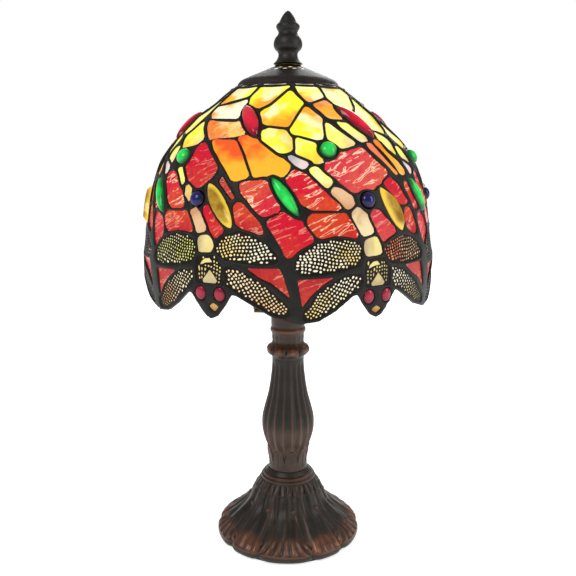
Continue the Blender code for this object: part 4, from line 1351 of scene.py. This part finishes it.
def base_relief(angle, height, radius):
    pitch = 360 / LOBES
    turn = (angle - LOBE_TURN + BROAD_LOBE / 2) % pitch
    broad = turn < BROAD_LOBE
    across = np.where(broad, turn / BROAD_LOBE, (turn - BROAD_LOBE) / (pitch - BROAD_LOBE)) * 2 - 1
    low = np.clip((34 - height) / 26, 0, 1)
    lift = -2.3 * low * np.abs(across) ** 6
    worn = np.zeros_like(height)
    # Soft folds that curl a little as they run down from the collar.
    bend = 4 * np.sin((height - 22) / 7.5)
    fold = repeat_share(angle + bend, 360 / FOLDS, LOBE_TURN)
    climb = within(height, *FOLD_SPAN)
    lift += (0.55 * np.cos(math.pi * fold) - 0.35 * hill(np.abs(fold), 0.93, 0.09)) * climb
    small = repeat_share(angle - 0.6 * bend, 180 / FOLDS, LOBE_TURN)
    lift += 0.16 * np.cos(math.pi * small) * climb
    worn += 0.1 * hill(small, 0, 0.16) * climb
    # A ribbed shell at the foot of each broad lobe and a creased leaf at each narrow one.
    shell = within(height, 6.6, 7.8, 12.6 - 3 * across**2, 16.4 - 3 * across**2)
    ribs = np.cos(math.tau * 3.5 * across * (0.8 + 0.05 * (height - 7)))
    crease = 1 - 1.5 * np.abs((np.abs(across) * 2) % 1 - 0.5) * 2
    lift += np.where(broad, 0.6 * ribs, 0.55 * crease) * shell
    worn += np.where(broad, np.clip(ribs + 0.35, 0, 1) * 0.42, 0.25 + 0.45 * np.clip(crease, 0, 1)) * shell
    # The rolled edge under the shells.
    roll = hill(height - ROLL_HEIGHT, 0.8 * across**2, 0.7) * (1 - np.abs(across) ** 8)
    lift += 0.35 * roll
    worn += 0.3 * roll
    # Small round bosses between the folds.
    seat = repeat_share(angle, 360 / BOSSES, LOBE_TURN + 9)
    away = np.hypot(seat * math.pi * radius / BOSSES, (height - BOSS_HEIGHT) * 1.25)
    boss = np.sqrt(np.clip(1 - (away / BOSS_RADIUS) ** 2, 0, 1))
    lift += 0.9 * boss
    worn = np.maximum(worn, boss * 0.22)
    # Gadroons under the double collar.
    tongues = repeat_share(angle, 360 / TONGUES, 0)
    band = within(height, *TONGUE_SPAN)
    lift += (0.75 * np.sqrt(np.clip(1 - tongues**2, 0, 1)) - 0.35) * band
    worn += 0.16 * band * np.clip(1 - np.abs(tongues) * 2, 0, 1)
    collar = sum(hill(height, middle, width) for middle, width in COLLAR_RIDGES)
    lift += 0.8 * collar
    worn += 0.22 * collar
    # Darker over the base's upper part, most in the middle of each lobe, and darker at the foot's lowest
    # edge.
    dark_top = step_up(height, 12, 18) * (0.45 + 0.55 * (1 - np.abs(across) ** 3))
    return lift, np.clip(worn, 0, 1), dark_top + (1 - step_up(height, 4.5, 6)) * 0.8


def castings(bronze):
    """The column, bored for the lamp pipe, and the base, hollow from below."""
    bore = [(PIPE_HOLE, COLUMN_SKIN[-1][1]), (PIPE_HOLE, COLUMN_SKIN[0][1])]
    carved("fluted_column", COLUMN_SKIN, bore, column_relief, COLUMN_GRID, bronze, "column")
    carved("carved_base", BASE_SKIN, BASE_HOLLOW, base_relief, BASE_GRID, bronze, "base_casting")


# ---- Fittings ----

def tube(path, radius, around=14):
    """(points, faces) of a round wire along a path in the plane y = 0."""
    path = np.array(path, float)
    ahead = np.gradient(path, axis=0)
    ahead /= np.hypot(*ahead.T)[:, None]
    rows = []
    turn = np.arange(around) * math.tau / around
    across = radius * np.cos(turn)
    for (x, z), (dx, dz) in zip(path, ahead):
        rows.append(np.stack([x + across * dz, radius * np.sin(turn), z - across * dx], axis=1))
    return lofted(rows, closed=False)


def harp(brass):
    curve = Surface(HARP_PATH, 6)
    half = np.stack(curve.section(np.linspace(0, curve.length, HARP_STEPS)), axis=1).tolist()
    path = [*half, *[(-x, z) for x, z in half[-2::-1]]]
    build = Build()
    build.add(*tube(path, HARP_WIRE))
    build.make("harp_wire", brass, "harp", ["harp"], 60)
    radius, low, high = STUD
    profile = [*STUD_FOOT, (radius, low + 0.1)]
    for k in range(int((high - low - 2) / THREAD_PITCH)):
        z = low + 0.8 + k * THREAD_PITCH
        profile += [(radius - 0.35, z), (radius, z + THREAD_PITCH / 2)]
    profile += [(radius - 0.5, high - 0.2), (0, high)]
    turned("harp_top_stud", profile, brass, "harp", ["harp_stud"], 32)


def bulb(glass, steel):
    skin = smooth_profile(BULB_SKIN, 1.5)
    turned("frosted_bulb", [*skin, *BULB_INSIDE], glass, "bulb_glass", ["bulb_glass"], 64, 60)
    profile = [*SCREW_FOOT]
    root, crest = SCREW_RADII
    for k in range(SCREW_TURNS):
        start = SCREW_START + k * SCREW_PITCH
        turn = [(root, 0), (crest, 0.3), (crest, 0.5), (root, 0.8)]
        profile += [(radius, start + SCREW_PITCH * share) for radius, share in turn]
    profile += SCREW_COLLAR
    turned("bulb_screw_shell", profile, steel, "bulb_base", ["bulb_base"], 48)


def socket(brass):
    cup = smooth_profile(SOCKET_CUP, 0.8)
    turned("socket_cup", [*cup, *SOCKET_CUP_INSIDE], brass, "root", ["socket_cap"])
    radius, low, high = SOCKET_SHELL
    wall = [(radius, low)]
    for z in SOCKET_GROOVES:
        wall += [(radius, z - 0.6), (radius - 0.5, z), (radius, z + 0.6)]
    wall += [(radius, high), (radius - 1.1, high), (radius - 1.1, low)]
    turned("socket_sleeve", wall, brass, "root", ["socket_shell"])


def knob(material):
    """The ribbed turn knob, whose spindle points to the front."""
    turn = np.arange(KNOB_SIDES) * math.tau / KNOB_SIDES
    rows = []
    for radius, reach in KNOB_SKIN:
        depth = 0.06 if 22 < reach < 29 else 0.0
        ribs = radius * (1 - depth * (1 + np.cos(KNOB_RIBS * turn)) / 2)
        forward = np.full(KNOB_SIDES, -float(reach))
        rows.append(np.stack([ribs * np.cos(turn), forward, KNOB_HEIGHT + ribs * np.sin(turn)], axis=1))
    build = Build()
    build.add(*lofted(rows, closed=False))
    build.make("turn_knob", material, "switch_knob", ["switch_knob"], 40)


def finish_kept(nodes, materials):
    """Puts a material on each CAD node that is shown as it is."""
    kept = {
        "felt_pad": "felt", "base_cover_plate": "steel", "lamp_pipe": "steel", "lock_washer": "steel",
        "pipe_nut": "brass", "cord_bushing": "rubber", "harp_saddle": "brass", "harp_sleeve_left": "brass",
        "harp_sleeve_right": "brass", "socket_liner": "card",
    }
    for name, slot in kept.items():
        mesh = nodes[name].data
        mesh.materials.clear()
        mesh.materials.append(materials[slot])


# ---- Stage ----

def area_light(name, place, aim, size, power, tint):
    data = bpy.data.lights.new(name, "AREA")
    data.shape = "RECTANGLE"
    data.size, data.size_y = size
    data.energy = power
    data.color = tint
    light = bpy.data.objects.new(name, data)
    light.location = place
    light.rotation_euler = (Vector(aim) - Vector(place)).to_track_quat("-Z", "Y").to_euler()
    bpy.context.collection.objects.link(light)
    return light


def stage():
    mesh = bpy.data.meshes.new("floor")
    mesh.from_pydata([(-60, -60, 0), (60, -60, 0), (60, 60, 0), (-60, 60, 0)], [], [(0, 1, 2, 3)])
    floor = bpy.data.objects.new("floor", mesh)
    floor.location = (0, 0, -0.0002)
    mesh.materials.append(floor_material())
    bpy.context.collection.objects.link(floor)
    lights = [
        area_light("key", (-0.9, -1.1, 1.3), (0, 0, 0.12), (0.8, 0.8), 14, (1.0, 0.97, 0.93)),
        area_light("side", (1.2, -0.5, 0.7), (0, 0, 0.12), (0.5, 1.0), 7, (1.0, 0.97, 0.94)),
        area_light("back", (0.3, 1.3, 1.0), (0, 0, 0.2), (1.0, 0.6), 8, (1.0, 1.0, 1.0)),
    ]


def background(tree, strength):
    node = tree.nodes.new("ShaderNodeBackground")
    node.inputs["Strength"].default_value = strength
    node.inputs["Color"].default_value = (1, 1, 1, 1)
    return node


def surroundings():
    """White where the camera sees them, and dimmer as a source of light."""
    world = bpy.data.worlds.new("studio")
    bpy.context.scene.world = world
    world.use_nodes = True
    tree = world.node_tree
    tree.nodes.clear()
    seen = background(tree, 1.0)
    lit = background(tree, 0.45)
    path = tree.nodes.new("ShaderNodeLightPath")
    both = tree.nodes.new("ShaderNodeMixShader")
    out = tree.nodes.new("ShaderNodeOutputWorld")
    tree.links.new(path.outputs["Is Camera Ray"], both.inputs[0])
    tree.links.new(lit.outputs[0], both.inputs[1])
    tree.links.new(seen.outputs[0], both.inputs[2])
    tree.links.new(both.outputs[0], out.inputs["Surface"])


def camera():
    data = bpy.data.cameras.new("camera")
    data.lens = LENS
    data.sensor_width = 36
    turn = math.radians(CAMERA_TURN)
    view = bpy.data.objects.new("camera", data)
    place = (CAMERA_REACH * math.sin(turn), -CAMERA_REACH * math.cos(turn), CAMERA_HEIGHT)
    view.location = Vector(place) * MM
    view.rotation_euler = (math.radians(90 - CAMERA_PITCH), 0, turn)
    bpy.context.collection.objects.link(view)
    bpy.context.scene.camera = view
    bpy.context.scene.view_settings.view_transform = "Standard"


def build_materials():
    return {
        "lead": metal_material("patinated lead", "0A0A08", "171713", 0.42, 0.22, shine=0.28, depth=0.12),
        "filigree": metal_material("blackened filigree", "0C0704", "180F09", 0.45, 0.2, shine=0.2),
        "cap_bronze": metal_material("satin cap bronze", "1A1312", "2A1F1D", 0.42, 0.3, shine=0.3),
        "finial": metal_material("black finial bronze", "131211", "1F1D1B", 0.4, 0.4),
        "bronze": metal_material(
            "antique bronze", "30241E", "41332B", 0.36, 0.45, depth=0.1, worn="8C5A44",
            patina=("171511", "221E18"),
        ),
        "brass": metal_material("antique brass", "4C3B22", "6A5430", 0.34, 1.0),
        "steel": metal_material("zinc steel", "8C8D90", "B4B6B9", 0.32, 1.0),
        "felt": soft_material("green felt", "12301E", "1F4A30", 2500, 0.95, 0.4),
        "rubber": soft_material("black rubber", "0E0E0E", "1C1C1C", 900, 0.6),
        "card": soft_material("insulating card", "8C6A43", "B08C5E", 1200, 0.85, 0.2),
        "bakelite": soft_material("dark bakelite", "1A1210", "2B1E1A", 500, 0.25, 0.03),
        "art_glass": cut_glass_material(),
        "red_jewel": jewel_material("ruby jewel", "6A061A", "E01434", 0.9),
        "green_jewel": jewel_material("emerald jewel", "04581E", "24E058", 0.9),
        "gold_jewel": jewel_material("gold jewel", "F0CA44", "8C6416", 0.8),
        "blue_jewel": jewel_material("sapphire jewel", "040416", "15156C", 0.7),
        "eye": jewel_material("garnet eye", "3E081C", "AE1634", 0.75),
        # A glowing sheet for the cap's vents: painted light seen through them.
        "vent_glow": jewel_material("painted vent glow", "E8D9AE", "FFF2CC", 0.9),
        "bulb": bulb_material(),
    }


def main():
    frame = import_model()
    materials = build_materials()
    windows = grown_windows()
    lead_net(materials["lead"], windows)
    cut_glass(materials["art_glass"], windows)
    filigree(materials["filigree"], windows)
    jewels(materials)
    cap(materials["cap_bronze"], materials["vent_glow"])
    turned("crown_band", CROWN_BAND, materials["brass"], "shade", ["crown_ring"], 96)
    turned("finial_seat", WASHER, materials["brass"], "finial_washer", ["finial_washer"])
    finial_skin = [*smooth_profile(FINIAL_SKIN, 0.4), *FINIAL_BORE]
    turned("turned_finial", finial_skin, materials["finial"], "finial", ["finial"], 72, 50)
    castings(materials["bronze"])
    harp(materials["brass"])
    bulb(materials["bulb"], materials["steel"])
    socket(materials["brass"])
    knob(materials["bakelite"])
    finish_kept(frame["nodes"], materials)
    stage()
    surroundings()
    camera()
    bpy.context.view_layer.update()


main()
